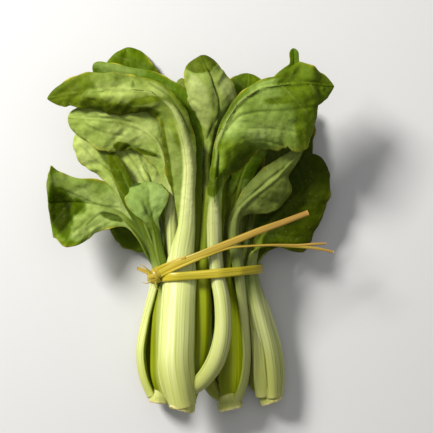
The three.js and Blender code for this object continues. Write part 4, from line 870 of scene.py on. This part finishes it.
def spread_out(columns, seed, is_blade):
    """A fine grid over the five columns, with s, t, the side (-1 or 1) and the whole width at each point."""
    left_margin, left_half, middle, right_half, right_margin = (columns[:, c] for c in range(5))
    left_reach, right_reach = (
        np.linalg.norm(half - middle, axis=1) + np.linalg.norm(margin - half, axis=1)
        for half, margin in ((left_half, left_margin), (right_half, right_margin))
    )
    per_side = int(np.clip(max(left_reach.max(), right_reach.max()) / FINE_STEP, 8, 44))
    u = np.arange(-per_side, per_side + 1) / per_side
    t = np.abs(u)[None, :]
    on_left = (u < 0)[None, :]
    side = np.where(on_left, -1, 1)
    half = np.where(on_left[:, :, None], left_half[:, None], right_half[:, None])
    margin = np.where(on_left[:, :, None], left_margin[:, None], right_margin[:, None])
    wide = np.where(on_left, left_reach[:, None], right_reach[:, None])
    s = travelled(middle)[:, None] * np.ones_like(t)
    if is_blade:
        t = drawn_margin(t, s, side, wide, seed)
    grid = (
        middle[:, None] * ((1 - t) * (1 - 2 * t))[:, :, None]
        + half * (4 * t * (1 - t))[:, :, None]
        + margin * (t * (2 * t - 1))[:, :, None]
    )
    return grid, s, t, side, wide


def normals_of(grid):
    return unit(np.cross(np.gradient(grid, axis=1), np.gradient(grid, axis=0)))


def creased(leaf, grid):
    """The depth of a leaf's creases at each point."""
    depth = np.zeros(grid.shape[:2])
    for deep, spots in CREASES.get(leaf["name"], ()):
        line = spline_at(spots, np.linspace(0, len(spots) - 1, 10 * len(spots)))
        away = np.full(grid.shape[:2], 1.0)
        for start, end in zip(line[:-1], line[1:]):
            way = end - start
            offset = grid[:, :, :2] - start
            t = np.clip(offset @ way / (way @ way), 0, 1)
            away = np.minimum(away, np.linalg.norm(offset - t[:, :, None] * way, axis=2))
        depth = np.maximum(depth, deep * np.exp(-((away / CREASE_HALF_WIDTH) ** 2)))
    return depth


def side_veins(rng, reach_on, side, s, t, off_rib):
    """How strongly the side veins show, and how much the blade bulges between them."""
    vein = np.zeros_like(s)
    puff = np.zeros_like(s)
    for way in (-1, 1):
        starts = np.cumsum(VEIN_SPACING * rng.uniform(0.6, 1.4, 40)) - 0.02
        strength = rng.uniform(0.25, 1, 41)
        place = np.interp(reach_on, starts, np.arange(40))
        near = np.round(place).astype(int)
        away = np.abs(place - near) * VEIN_SPACING
        line = np.exp(-((away / VEIN_HALF_WIDTH) ** 2)) * strength[near] * (1 - 0.8 * t)
        bulge = np.cos(2 * np.pi * (place - near)) * VEIN_PUFF * (1 - t) * smooth(0.8, 2.5, off_rib)
        vein = np.where(side == way, line * smooth(0, 0.02, s), vein)
        puff = np.where(side == way, bulge, puff)
    return vein, puff


def blade_relief(leaf, seed, s, out, side, t, rib, wide):
    """How far a blade's surface stands off its smooth sheet, and how strongly its veins show."""
    begun = smooth(0, 0.02, s)
    wave = leaf["ruffle"] * t**2 * np.sin(2 * np.pi * s / RUFFLE_LENGTH + seed * 1.7 + (side < 0) * 2)
    wave += MARGIN_FRILL * t**3 * wobble(s / 0.0045 + side * 3, seed + 20) * begun
    swell = wobble(out / 0.008 + s / 0.03, seed + 40)
    wave += BUCKLE * wobble(s / 0.011 + 2 * side * t, seed + 30) * swell * begun
    # side veins leave the midrib at uneven distances, sweep outward and bend towards the tip
    reach_on = s - VEIN_LEAN * out - VEIN_BEND * out**2
    sharp = 1 - np.abs(wobble(reach_on / 0.0065 + side * 2, seed + 70))
    crimp = CRIMP * sharp * begun * smooth(1, 3, out / rib)
    wave += crimp * (0.6 + 0.4 * wobble(out / 0.006 + s / 0.009, seed + 80))
    vein, puff = side_veins(np.random.default_rng(seed + 7), reach_on, side, s, t, out / rib)
    # finer veins between them, running along
    strand = out / NET_SPACING + 0.35 * np.sin(s / 0.006 + seed)
    net = np.exp(-(((strand - np.round(strand)) * 10.4) ** 2)) * NET_STRENGTH * (1 - t) * (out > rib)
    vein = np.maximum(vein, net)
    return (wave + VEIN_RELIEF * vein + puff) * smooth(0.001, 0.014, wide), vein


def stalk_ridge(leaf, seed, s, off, out, rib, fade):
    """Height of the ribs along a stalk; heart leaves have none. off is out, below zero on the left."""
    ridge = STALK_RIB_RELIEF * np.cos(2 * np.pi * off / STALK_RIB_PITCH + wobble(s / 0.05, seed) * 0.5) * fade
    ridge = ridge * (1 - np.minimum(1, out / rib)**4) * (out < rib) * (leaf["ring"] != "heart")
    ridge = ridge * (0.55 + 0.45 * wobble(off / 0.0035, seed + 60))
    return ridge * (0.6 + 0.4 * wobble(s / 0.06, seed + 61))


def patched(leaf, grid, tone_and_shading, olive, white):
    """Lays a leaf's patches over its tone and olive; under them the pale colour of the stalk gives way."""
    # patches are partly painted light and shade: darker in clefts and under folds, brighter facing the light
    for x, y, long, wide, turn, soft, brighter, more_olive in PATCHES.get(leaf["name"], ()):
        a = math.radians(turn)
        dx, dy = grid[:, :, 0] - x, grid[:, :, 1] - y
        along = (dx * math.cos(a) + dy * math.sin(a)) / long
        aside = (dy * math.cos(a) - dx * math.sin(a)) / wide
        uneven = 0.1 * wobble(dx / 0.004 + dy / 0.007, 5)
        weight = 1 - smooth(1 - soft, 1, np.hypot(along, aside) + uneven)
        tone_and_shading = tone_and_shading + brighter * weight
        olive = olive + more_olive * weight
        white = white * (1 - weight)
    return tone_and_shading, olive, white


def blade_colours(leaf, grid, s, t, off_rib, tone_and_shading, olive, tip_olive):
    """Brightness and olive of a blade, partly painted light and shade, and how far the pale colour of
    its stalk reaches into it.
    """
    whole = s[-1, 0]
    white = (1 - smooth(0.8, 1.3, off_rib)) * (1 - smooth(*LONG_WHITE.get(leaf["name"], SHORT_WHITE), s))
    thin_rib = (1 - smooth(0.2, 0.8, off_rib)) * (1 - smooth(0.4, 0.9, s / whole)) * 0.4
    olive = olive + tip_olive * smooth(0.6, 0.95, s / whole) + 0.35 * t**4
    return patched(leaf, grid, tone_and_shading, olive, np.maximum(white, thin_rib))


def shell_quads(n, m, is_blade):
    """Faces of a shell of two grids of n rows by m; a blade is closed at its tip and a stalk at its foot."""
    back = np.arange(n * m).reshape(n, m)
    face = back + n * m
    quads = [
        np.stack([back[:-1, :-1], back[:-1, 1:], back[1:, 1:], back[1:, :-1]], -1).reshape(-1, 4),
        np.stack([face[:-1, :-1], face[1:, :-1], face[1:, 1:], face[:-1, 1:]], -1).reshape(-1, 4),
        np.stack([face[:-1, 0], back[:-1, 0], back[1:, 0], face[1:, 0]], -1),
        np.stack([back[:-1, -1], face[:-1, -1], face[1:, -1], back[1:, -1]], -1),
    ]
    if is_blade:
        quads.append(np.stack([back[-1, :-1], back[-1, 1:], face[-1, 1:], face[-1, :-1]], -1))
    else:
        quads.append(np.stack([face[0, :-1], face[0, 1:], back[0, 1:], back[0, :-1]], -1))
    return np.concatenate(quads)


def leaf_sheet(leaf, seed, part):
    """Points of both faces of a stalk or a blade, its faces, and what its colours follow."""
    is_blade = part == "blade"
    rows, stems, tip = rows_of(leaf)
    columns, facts = sampled(rows, 0, stems - 1)
    stalk_length = travelled(columns[:, 2])[-1]
    if is_blade:
        columns, facts = sampled(rows, stems - 1, len(rows) - 1, tip, leaf.get("bluntness", 2))
    grid, s, t, side, wide = spread_out(columns, seed, is_blade)
    normal = normals_of(grid)
    out = t * wide
    rib = facts["rib"][:, None]
    edge = facts["edge"][:, None]
    thick = edge + (facts["thick"][:, None] - edge) * (1 - np.minimum(1, out / rib)**2)
    left, right, tip_olive = own(TINTS, leaf, "others")
    if leaf["up"] == "face":
        left, right = right, left
    share = 0.5 + 0.5 * side * smooth(0, 0.004, out)
    # each half's brightness is painted light and shade along with the leaf's own lightness
    tone_and_shading, olive = (left[k] * (1 - share) + right[k] * share for k in (0, 1))
    if is_blade:
        relief, vein = blade_relief(leaf, seed, s, out, side, t, rib, wide)
        # where a bend crowds the rows together, there is no room for relief
        spread = np.linalg.norm(np.gradient(grid, axis=0), axis=2)
        relief *= np.clip(spread / spread[:, [spread.shape[1] // 2]], 0, 1)
        fold = creased(leaf, grid)
        upper = 1 if leaf["up"] == "back" else -1
        grid = grid + normal * (relief - upper * fold)[:, :, None]
        normal = normals_of(grid)
        for _ in range(2):
            normal[1:-1] = unit(normal[:-2] + 2 * normal[1:-1] + normal[2:])
        tone_and_shading, olive, white = blade_colours(leaf, grid, s, t, out / rib, tone_and_shading, olive, tip_olive)
        fade = 1 - smooth(0, 0.06, s)
        green = np.ones_like(s)
        s = s + stalk_length
    else:
        vein = np.zeros_like(s)
        fold = np.zeros_like(s)
        white = np.ones_like(s)
        fade = smooth(0, 0.02, s)
        green = smooth(*NECK_SPAN[head_of(leaf)], s / stalk_length)
    green = green * (LONG_WHITE_GREEN if leaf["name"] in LONG_WHITE else NECK_GREEN[head_of(leaf)])
    ridge = stalk_ridge(leaf, seed, s, side * out, out, rib, fade)
    backs = grid + normal * (thick - edge / 2 + ridge)[:, :, None]
    faces = grid - normal * (edge / 2)[:, :, None]
    # the olive of the inner stalks is painted shade and light shining through
    deep = own(INNER_SHADE, leaf, leaf["ring"])
    foot = 1 - smooth(0.001, 0.006, s)
    colour = {
        "out": t,
        "vein": vein,
        # painted shade: the material darkens the colour along the creases by this
        "fold": fold * 1000,
        "white": white,
        "green": green,
        "tone_and_shading": tone_and_shading,
        "olive": olive,
        # painted shade: how dark the head's stalks are, darker still where they turn green
        "shade": own(STALK_SHADES, leaf, head_of(leaf)) - 0.2 * green,
        "low": 1 - smooth(0.008, 0.06, s),
        "deep": deep[0] * (1 - share) + deep[1] * share,
        "cool": COOL.get(leaf["name"], 0),
        "s": s + 0.7 * seed,
        "across": side * out,
        "cut": foot * own(FOOT_TAN, leaf, "others") * (not is_blade),
    }
    n, m = grid.shape[:2]
    values = {key: np.tile(np.broadcast_to(value, (n, m)).reshape(-1), 2) for key, value in colour.items()}
    values["back"] = np.repeat([1.0, 0.0], n * m)
    return np.concatenate([backs.reshape(-1, 3), faces.reshape(-1, 3)]), shell_quads(n, m, is_blade), values


def mesh_object(name, sheets, material):
    """One smooth object from sheets of (points, quads, values), pressed flat where it meets the table."""
    points = np.concatenate([sheet[0] for sheet in sheets]) + CENTRING
    points[:, 2] = np.maximum(points[:, 2], 0)
    quads, start = [], 0
    for sheet_points, sheet_quads, _ in sheets:
        quads.append(sheet_quads + start)
        start += len(sheet_points)
    quads = np.concatenate(quads)
    mesh = bpy.data.meshes.new(name)
    mesh.from_pydata(points.tolist(), [], quads.tolist())
    for key in sheets[0][2]:
        values = np.concatenate([sheet[2][key] for sheet in sheets])
        mesh.attributes.new(key, "FLOAT", "POINT").data.foreach_set("value", values.astype(np.float32))
    mesh.polygons.foreach_set("use_smooth", np.ones(len(quads), bool))
    mesh.validate()
    mesh.update()
    mesh.materials.append(material)
    made = bpy.data.objects.new(name, mesh)
    bpy.context.scene.collection.objects.link(made)
    return made


# Materials
class Look:
    """A material in the making; its methods keep the node trees below short."""

    def __init__(self, name):
        self.material = bpy.data.materials.new(name)
        self.material.use_nodes = True
        self.tree = self.material.node_tree
        self.tree.nodes.clear()
        self.output = self.tree.nodes.new("ShaderNodeOutputMaterial")

    def add(self, kind, values=None, **settings):
        node = self.tree.nodes.new(kind)
        for key, value in settings.items():
            setattr(node, key, value)
        for key, value in (values or {}).items():
            if isinstance(value, bpy.types.NodeSocket):
                self.tree.links.new(value, node.inputs[key])
            else:
                node.inputs[key].default_value = value
        return node

    def attribute(self, name):
        return self.add("ShaderNodeAttribute", attribute_name=name).outputs["Fac"]

    def math(self, operation, a, b=0.0, c=0.0):
        return self.add("ShaderNodeMath", {0: a, 1: b, 2: c}, operation=operation).outputs[0]

    def times(self, value, factor):
        return self.math("MULTIPLY", value, factor)

    def noise(self, scale, detail):
        place = self.add("ShaderNodeTexCoord").outputs["Object"]
        node = self.add("ShaderNodeTexNoise", {"Vector": place, "Scale": scale, "Detail": detail})
        return node.outputs["Fac"]

    def streaks(self, fine, long, detail=2.5):
        """Noise drawn out along a leaf or a straw: fine across it, long along it."""
        place = self.add("ShaderNodeCombineXYZ", {
            "X": self.times(self.attribute("across"), fine),
            "Y": self.times(self.attribute("s"), long),
        })
        node = self.add("ShaderNodeTexNoise", {"Vector": place.outputs[0], "Scale": 1.0, "Detail": detail})
        return node.outputs["Fac"]

    def ramp(self, value, *stops):
        """Colours, or greys given by one number, at places from 0 to 1."""
        node = self.add("ShaderNodeValToRGB", {"Fac": value})
        ramp = node.color_ramp
        while len(ramp.elements) < len(stops):
            ramp.elements.new(0.5)
        for element, (place, colour) in zip(ramp.elements, stops):
            element.position = place
            element.color = (*colour, 1) if isinstance(colour, tuple) else (colour, colour, colour, 1)
        return node.outputs["Color"]

    def mix(self, factor, a, b, blend="MIX"):
        node = self.add("ShaderNodeMix", data_type="RGBA", blend_type=blend)
        for socket, value in ((node.inputs[0], factor), (node.inputs[6], a), (node.inputs[7], b)):
            if isinstance(value, bpy.types.NodeSocket):
                self.tree.links.new(value, socket)
            else:
                socket.default_value = (*value, 1) if isinstance(value, tuple) else value
        return node.outputs[2]

    def tinted(self, a, b):
        return self.mix(1.0, a, b, "MULTIPLY")

    def lit(self, brightness, colour):
        """Paints light and shade into a colour: a brightness of 0.5 leaves it nearly as it is."""
        return self.tinted(colour, self.ramp(brightness, (0, 0.16), (0.5, 0.95), (1, 1.7)))

    def bump(self, height, strength, distance):
        values = {"Height": height, "Strength": strength, "Distance": distance}
        return self.add("ShaderNodeBump", values).outputs[0]

    def principled(self, values):
        return self.add("ShaderNodeBsdfPrincipled", values).outputs[0]

    def finish(self, shader):
        self.tree.links.new(shader, self.output.inputs["Surface"])
        return self.material


def srgb(r, g, b):
    """A colour given as 0 to 255 on screen, in the linear values that the shaders use."""
    return tuple((c / 255 / 12.92) if c <= 10 else ((c / 255 + 0.055) / 1.055) ** 2.4 for c in (r, g, b))


def stalk_colour(look):
    """Cream with long faint streaks, greener towards the blades, darkened by painted shade; the olive
    on the inner stalks and on the insides of their curls is painted shade and light shining through.
    """
    lines = look.streaks(420.0, 7.0)
    broad = look.streaks(70.0, 14.0, 1.0)
    threads = look.streaks(1100.0, 5.0, 1.0)
    cream = look.ramp(
        lines, (0.3, srgb(198, 205, 120)), (0.5, srgb(213, 219, 148)), (0.7, srgb(228, 232, 184))
    )
    cream = look.mix(look.ramp(broad, (0.35, 0), (0.65, 0.4)), cream, srgb(190, 199, 102))
    cream = look.mix(look.ramp(threads, (0.34, 0.75), (0.45, 0)), cream, srgb(150, 158, 70))
    cream = look.mix(look.times(look.attribute("low"), 0.6), cream, srgb(164, 168, 70))
    rim = look.times(look.math("POWER", look.attribute("out"), 6.0), 0.5)
    cream = look.mix(rim, cream, srgb(150, 166, 40))
    # painted shade and light shining through: olive on the inner stalks and the insides of their curls
    olive = look.ramp(lines, (0.3, srgb(104, 114, 0)), (0.52, srgb(126, 138, 0)), (0.72, srgb(158, 170, 8)))
    olive = look.mix(look.ramp(broad, (0.35, 0), (0.7, 0.5)), olive, srgb(158, 168, 44))
    inside = look.math("SUBTRACT", 1.0, look.attribute("back"))
    colour = look.mix(look.math("MAXIMUM", inside, look.attribute("deep")), cream, olive)
    green = look.ramp(lines, (0.35, srgb(76, 102, 8)), (0.65, srgb(146, 168, 56)))
    colour = look.mix(look.attribute("green"), colour, green)
    # painted shade: each head's brightness darkens the colour
    return look.lit(look.attribute("shade"), colour)


def stalk_material():
    look = Look("pale_stalk")
    tan = look.ramp(
        look.noise(300, 4), (0.3, srgb(168, 146, 82)), (0.5, srgb(208, 198, 130)), (0.7, srgb(228, 222, 168))
    )
    return look.finish(look.principled({
        "Base Color": look.mix(look.attribute("cut"), stalk_colour(look), tan),
        "Roughness": 0.36,
        "Specular IOR Level": 0.12,
        "Subsurface Weight": 0.25,
        "Subsurface Radius": (0.004, 0.005, 0.0015),
        "Subsurface Scale": 0.6,
        "Coat Weight": 0.05,
        "Coat Roughness": 0.3,
        "Normal": look.bump(look.streaks(900.0, 25.0), 0.3, 0.0003),
    }))


def blade_green(look, mottle, fine, is_back):
    """Mottled green, paler and greyer on the back, with broad olive and pale parts and dark flecks."""
    colour = look.mix(is_back, srgb(88, 112, 8), srgb(140, 160, 68))
    lighter = look.mix(is_back, srgb(116, 142, 22), srgb(174, 190, 104))
    colour = look.mix(look.times(look.ramp(mottle, (0.35, 0), (0.65, 1)), 0.4), colour, lighter)
    olive = look.math("ADD", look.attribute("olive"), look.math("MULTIPLY_ADD", look.noise(24, 2), 3.0, -1.5))
    pale_green = look.ramp(mottle, (0.35, srgb(160, 174, 90)), (0.65, srgb(180, 193, 116)))
    colour = look.mix(look.ramp(look.times(olive, -1.0), (0.1, 0), (0.9, 0.9)), colour, pale_green)
    olive_green = look.ramp(mottle, (0.35, srgb(86, 104, 0)), (0.65, srgb(112, 132, 0)))
    colour = look.mix(look.ramp(olive, (0.1, 0), (0.7, 0.9)), colour, olive_green)
    dark = look.tinted(colour, srgb(150, 158, 110))
    return look.mix(look.ramp(fine, (0.25, 0.5), (0.7, 0)), colour, dark)


def blade_material(name):
    """Green, in painted light and shade, with faint veins, a yellowish margin, painted shade in its creases
    and pale specks; light shines through it.
    """
    look = Look(name)
    white = look.attribute("white")
    # painted light and shade, with the leaf's own lightness, brightens or darkens the colours below
    tone_and_shading = look.attribute("tone_and_shading")
    fine = look.noise(240, 4)
    colour = look.lit(tone_and_shading, blade_green(look, look.noise(42, 5), fine, look.attribute("back")))
    colour = look.mix(look.attribute("cool"), colour, look.tinted(colour, (0.84, 1.0, 0.92)))
    colour = look.mix(look.times(look.attribute("vein"), 0.18), colour, look.lit(tone_and_shading, srgb(196, 208, 118)))
    margin = look.times(look.math("POWER", look.attribute("out"), 22.0), 0.4)
    colour = look.mix(margin, colour, look.lit(tone_and_shading, srgb(180, 170, 54)))
    # painted shade: darker along the creases
    colour = look.mix(look.times(look.attribute("fold"), 0.9), colour, look.lit(tone_and_shading, srgb(52, 66, 4)))
    specks = look.ramp(look.noise(520, 2), (0.68, 0), (0.72, 1))
    colour = look.mix(look.times(specks, 0.2), colour, srgb(190, 205, 130))
    colour = look.mix(white, colour, stalk_colour(look))
    bump = look.bump(look.math("ADD", fine, look.times(look.noise(90, 3), 1.5)), 0.7, 0.0008)
    surface = look.principled({
        "Base Color": colour,
        "Roughness": 0.55,
        "Specular IOR Level": 0.05,
        "Normal": bump,
    })
    through = look.mix(0.6, colour, srgb(150, 180, 20))
    glow = look.add("ShaderNodeBsdfTranslucent", {"Color": through, "Normal": bump}).outputs[0]
    share = look.math("MULTIPLY_ADD", white, -0.2, 0.24)
    return look.finish(look.add("ShaderNodeMixShader", {0: share, 1: surface, 2: glow}).outputs[0])


def straw_material():
    look = Look("dry_straw")
    fibres = look.streaks(1500.0, 22.0, 4)
    colour = look.ramp(
        fibres, (0.3, srgb(136, 122, 12)), (0.5, srgb(174, 158, 34)), (0.7, srgb(200, 184, 72))
    )
    greenish = look.ramp(look.noise(60, 2), (0.45, 0), (0.75, 0.6))
    colour = look.mix(greenish, colour, srgb(150, 146, 22))
    brown = look.ramp(fibres, (0.3, srgb(128, 88, 34)), (0.7, srgb(184, 138, 76)))
    return look.finish(look.principled({
        "Base Color": look.mix(look.times(look.attribute("dry"), 0.85), colour, brown),
        "Roughness": 0.34,
        "Specular IOR Level": 0.3,
        "Normal": look.bump(fibres, 0.45, 0.0003),
    }))


# Stem bases: the cut ends of the heads
def stem_base(head, shade, seed):
    x, y, z = head["axis"][0]
    g = head["girth"]
    profile = np.array([
        (0, -CUT_LENGTH * 0.86), (0.006 * g, -CUT_LENGTH * 0.9), (0.0084 * g, -CUT_LENGTH),
        (0.0094 * g, -CUT_LENGTH + 0.0004), (0.0098 * g, -CUT_LENGTH + 0.0014), (0.0094 * g, 0.001),
        (0.0078 * g, 0.004), (0.0064 * g, 0.007), (0, 0.009),
    ])
    spots = np.linspace(0, len(profile) - 1, 70)
    radius, up = (np.interp(spots, np.arange(len(profile)), profile[:, k]) for k in (0, 1))
    turn = np.linspace(0, 2 * np.pi, 97)[:-1]
    lobes = 1 + 0.03 * np.cos(3 * turn + seed) + 0.015 * np.cos(7 * turn + 2 * seed)
    r = radius[:, None] * lobes[None, :]
    on_cut = smooth(0.004, 0.009, radius) * (up < -0.002)
    level = up[:, None] + CUT_ROUGHNESS * wobble(turn * 4, seed)[None, :] * on_cut[:, None]
    slant = math.radians(head["slant"])
    aside = r * np.sin(turn)
    grid = np.stack([
        x + aside * math.cos(slant) - level * math.sin(slant),
        y + aside * math.sin(slant) + level * math.cos(slant),
        z + r * np.cos(turn),
    ], -1)
    n, m = grid.shape[:2]
    index = np.arange(n * m).reshape(n, m)
    following = np.roll(index, -1, axis=1)
    quads = np.stack([index[:-1], index[1:], following[1:], following[:-1]], -1).reshape(-1, 4)
    cut = smooth(0.0016, 0.004, -up)[:, None] * np.ones(m)
    around = turn * radius.max() + np.zeros((n, 1))
    values = {key: np.zeros(n * m) for key in ("out", "vein", "fold", "green", "olive", "deep", "cool")}
    values |= {"white": np.ones(n * m), "tone_and_shading": np.full(n * m, 0.5), "back": np.ones(n * m)}
    # the head's painted shade, as on its stalks
    values |= {"shade": np.full(n * m, shade), "low": np.ones(n * m)}
    values |= {"cut": cut.reshape(-1), "across": around.reshape(-1), "s": np.repeat(up + seed, m)}
    return grid.reshape(-1, 3), quads, values


# The straw tie
def strip(centre, across, out, wide, thick, closed, dry):
    """A flat strip with rounded edges and shallow lengthwise grooves."""
    sides = 20
    a = np.linspace(0, 2 * np.pi, sides, endpoint=False)
    sx = np.sign(np.cos(a)) * np.abs(np.cos(a)) ** 0.7
    sy = np.sign(np.sin(a)) * np.abs(np.sin(a)) ** 0.8
    groove = 1 + 0.10 * np.cos(5 * a)
    grid = (
        centre[:, None]
        + across[:, None] * (sx[None, :] * wide[:, None] / 2)[:, :, None]
        + out[:, None] * ((sy * groove)[None, :] * thick[:, None] / 2)[:, :, None]
    )
    index = np.arange(len(centre) * sides).reshape(len(centre), sides)
    following = np.roll(index, -1, axis=1)
    quads = [np.stack([index[:-1], following[:-1], following[1:], index[1:]], -1).reshape(-1, 4)]
    if closed:
        quads.append(np.stack([index[-1], following[-1], following[0], index[0]], -1))
    else:
        for ring, order in ((index[0], 1), (index[-1], -1)):
            ends = [[ring[k - 1], ring[k], ring[-k - 1], ring[-k]] for k in range(1, sides // 2)]
            quads.append(np.array(ends)[:, ::order])
    values = {
        "dry": np.repeat(dry, sides),
        "s": np.repeat(travelled(centre), sides),
        "across": (sx[None, :] * wide[:, None] / 2).reshape(-1),
    }
    return grid.reshape(-1, 3), np.concatenate(quads), values


def loose_end(route, dry):
    route = np.array(route)
    spots = np.linspace(0, len(route) - 1, 14 * (len(route) - 1) + 1)
    centre = spline_at(route[:, :3], spots)
    wide, thick = (np.interp(spots, np.arange(len(route)), route[:, k]) for k in (3, 4))
    along = unit(np.gradient(centre, axis=0))
    across = unit(np.cross(along, (0, 0, 1)))
    out = np.cross(across, along)
    return strip(centre, across, out, wide, thick, False, dry * spots / spots[-1])


def band(held):
    """Round the bundle, lying at each angle on whichever stalk stands out furthest."""
    flat = held[np.abs(held[:, 1] - TIE_Y) < BAND_REACH][:, (0, 2)]
    turn = np.linspace(0, 2 * np.pi, 240, endpoint=False)
    ways = np.stack([np.sin(turn), np.cos(turn)], -1)
    support = flat[np.argmax(flat @ ways.T, axis=0)] + ways * (CLEARANCE + STRAW["thick"] / 2)
    loop = np.vstack([support, support[:1]])
    length = travelled(loop)
    even = np.arange(0, length[-1], BAND_STEP)
    x, z = (np.interp(even, length, loop[:, k]) for k in (0, 1))
    for _ in range(2):
        x = (np.roll(x, 1) + 2 * x + np.roll(x, -1)) / 4
        z = (np.roll(z, 1) + 2 * z + np.roll(z, -1)) / 4
    centre = np.stack([x, TIE_Y + STRAW["slant"] * (x - BAND_LEVEL_X), z], -1)
    way = unit(np.roll(centre, -1, axis=0) - np.roll(centre, 1, axis=0))
    across = np.tile([0.0, 1.0, 0.0], (len(x), 1))
    out = unit(np.cross(way, across)) * -1
    wide = STRAW["wide"] * (1 + 0.05 * wobble(even / 0.02, 3))
    return strip(centre, across, out, wide, np.full(len(x), STRAW["thick"]), True, np.zeros(len(x)))


def turn_of_knot(along, high, wide, lean):
    a = math.radians(lean)
    across = np.array([math.sin(a), math.cos(a), 0])
    axis = np.array([math.cos(a), -math.sin(a), 0])
    up = np.array([0, 0, 1])
    n = 48
    b = np.linspace(0, 2 * np.pi, n, endpoint=False)[:, None]
    out = np.sin(b) * across + np.cos(b) * up
    centre = KNOT + across * along * np.sin(b) + up * high * np.cos(b)
    thick = np.full(n, TURN_THICKNESS)
    return strip(centre, np.tile(axis, (n, 1)), out, np.full(n, wide), thick, True, np.full(n, KNOT_DRYNESS))


# Build everything
stalk_look = stalk_material()
straw_look = straw_material()
looks = {"back": blade_material("pale_blade"), "face": blade_material("green_blade")}

held = []
for number, (name, head) in enumerate(HEADS.items()):
    sheets = [leaf_sheet(leaf, seed, "stalk") for seed, leaf in enumerate(LEAVES) if head_of(leaf) == name]
    held += [points for points, _, _ in sheets]
    # the cut end takes the painted shade of its head's stalks
    sheets.append(stem_base(head, STALK_SHADES[name], number + 1))
    piece = mesh_object(f"{name}_stalks", sheets, stalk_look)
    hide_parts(f"{name}_head")
    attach(piece, "root")

for seed, leaf in enumerate(LEAVES):
    piece = mesh_object(f"{leaf['name']}_blade", [leaf_sheet(leaf, seed, "blade")], looks[leaf["up"]])
    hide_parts(leaf["name"])
    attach(piece, "root")

straws = [band(np.concatenate(held))]
straws += [turn_of_knot(*turn) for turn in TURNS]
straws += [loose_end(route, DRYNESS.get(name, DRYNESS["others"])) for name, route in (ENDS | FIBRES).items()]
piece = mesh_object("straw", straws, straw_look)
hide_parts("straw_tie")
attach(piece, "root")


# Stage, camera and light
def stage_floor():
    mesh = bpy.data.meshes.new("floor")
    corners = [(x * FLOOR_REACH, y * FLOOR_REACH, 0) for x, y in ((-1, -1), (1, -1), (1, 1), (-1, 1))]
    mesh.from_pydata(corners, [], [(0, 1, 2, 3)])
    look = Look("floor")
    mesh.materials.append(look.finish(look.principled({"Base Color": (0.6, 0.6, 0.6, 1), "Roughness": 0.9})))
    made = bpy.data.objects.new("floor", mesh)
    bpy.context.scene.collection.objects.link(made)


def area_light(name, place, size, power, colour=(1, 1, 1)):
    """A square light that faces the middle of the bunch."""
    data = bpy.data.lights.new(name, "AREA")
    data.size = size
    data.energy = power
    data.color = colour
    made = bpy.data.objects.new(name, data)
    made.location = place
    way = np.array(LIGHT_AIM) - np.array(place)
    made.rotation_euler = Vector(way).to_track_quat("-Z", "Y").to_euler()
    bpy.context.scene.collection.objects.link(made)


stage_floor()
camera_data = bpy.data.cameras.new("camera")
camera = bpy.data.objects.new("camera", camera_data)
camera.location = (*VIEW_CENTRE, CAMERA_HEIGHT)
camera_data.sensor_width = SENSOR_WIDTH
camera_data.lens = SENSOR_WIDTH * (CAMERA_HEIGHT - VIEW_LEVEL) / VIEW_WIDTH
bpy.context.scene.collection.objects.link(camera)
bpy.context.scene.camera = camera

area_light("key", (-0.9, 0.75, 0.95), size=0.4, power=37, colour=(1, 0.98, 0.94))
area_light("fill", (0.2, 0.3, 1.6), size=1.6, power=5.5)
world = bpy.data.worlds.new("world")
world.use_nodes = True
world.node_tree.nodes["Background"].inputs[0].default_value = (1, 1, 1, 1)
world.node_tree.nodes["Background"].inputs[1].default_value = WORLD_LIGHT
bpy.context.scene.world = world
bpy.context.scene.view_settings.view_transform = "Standard"
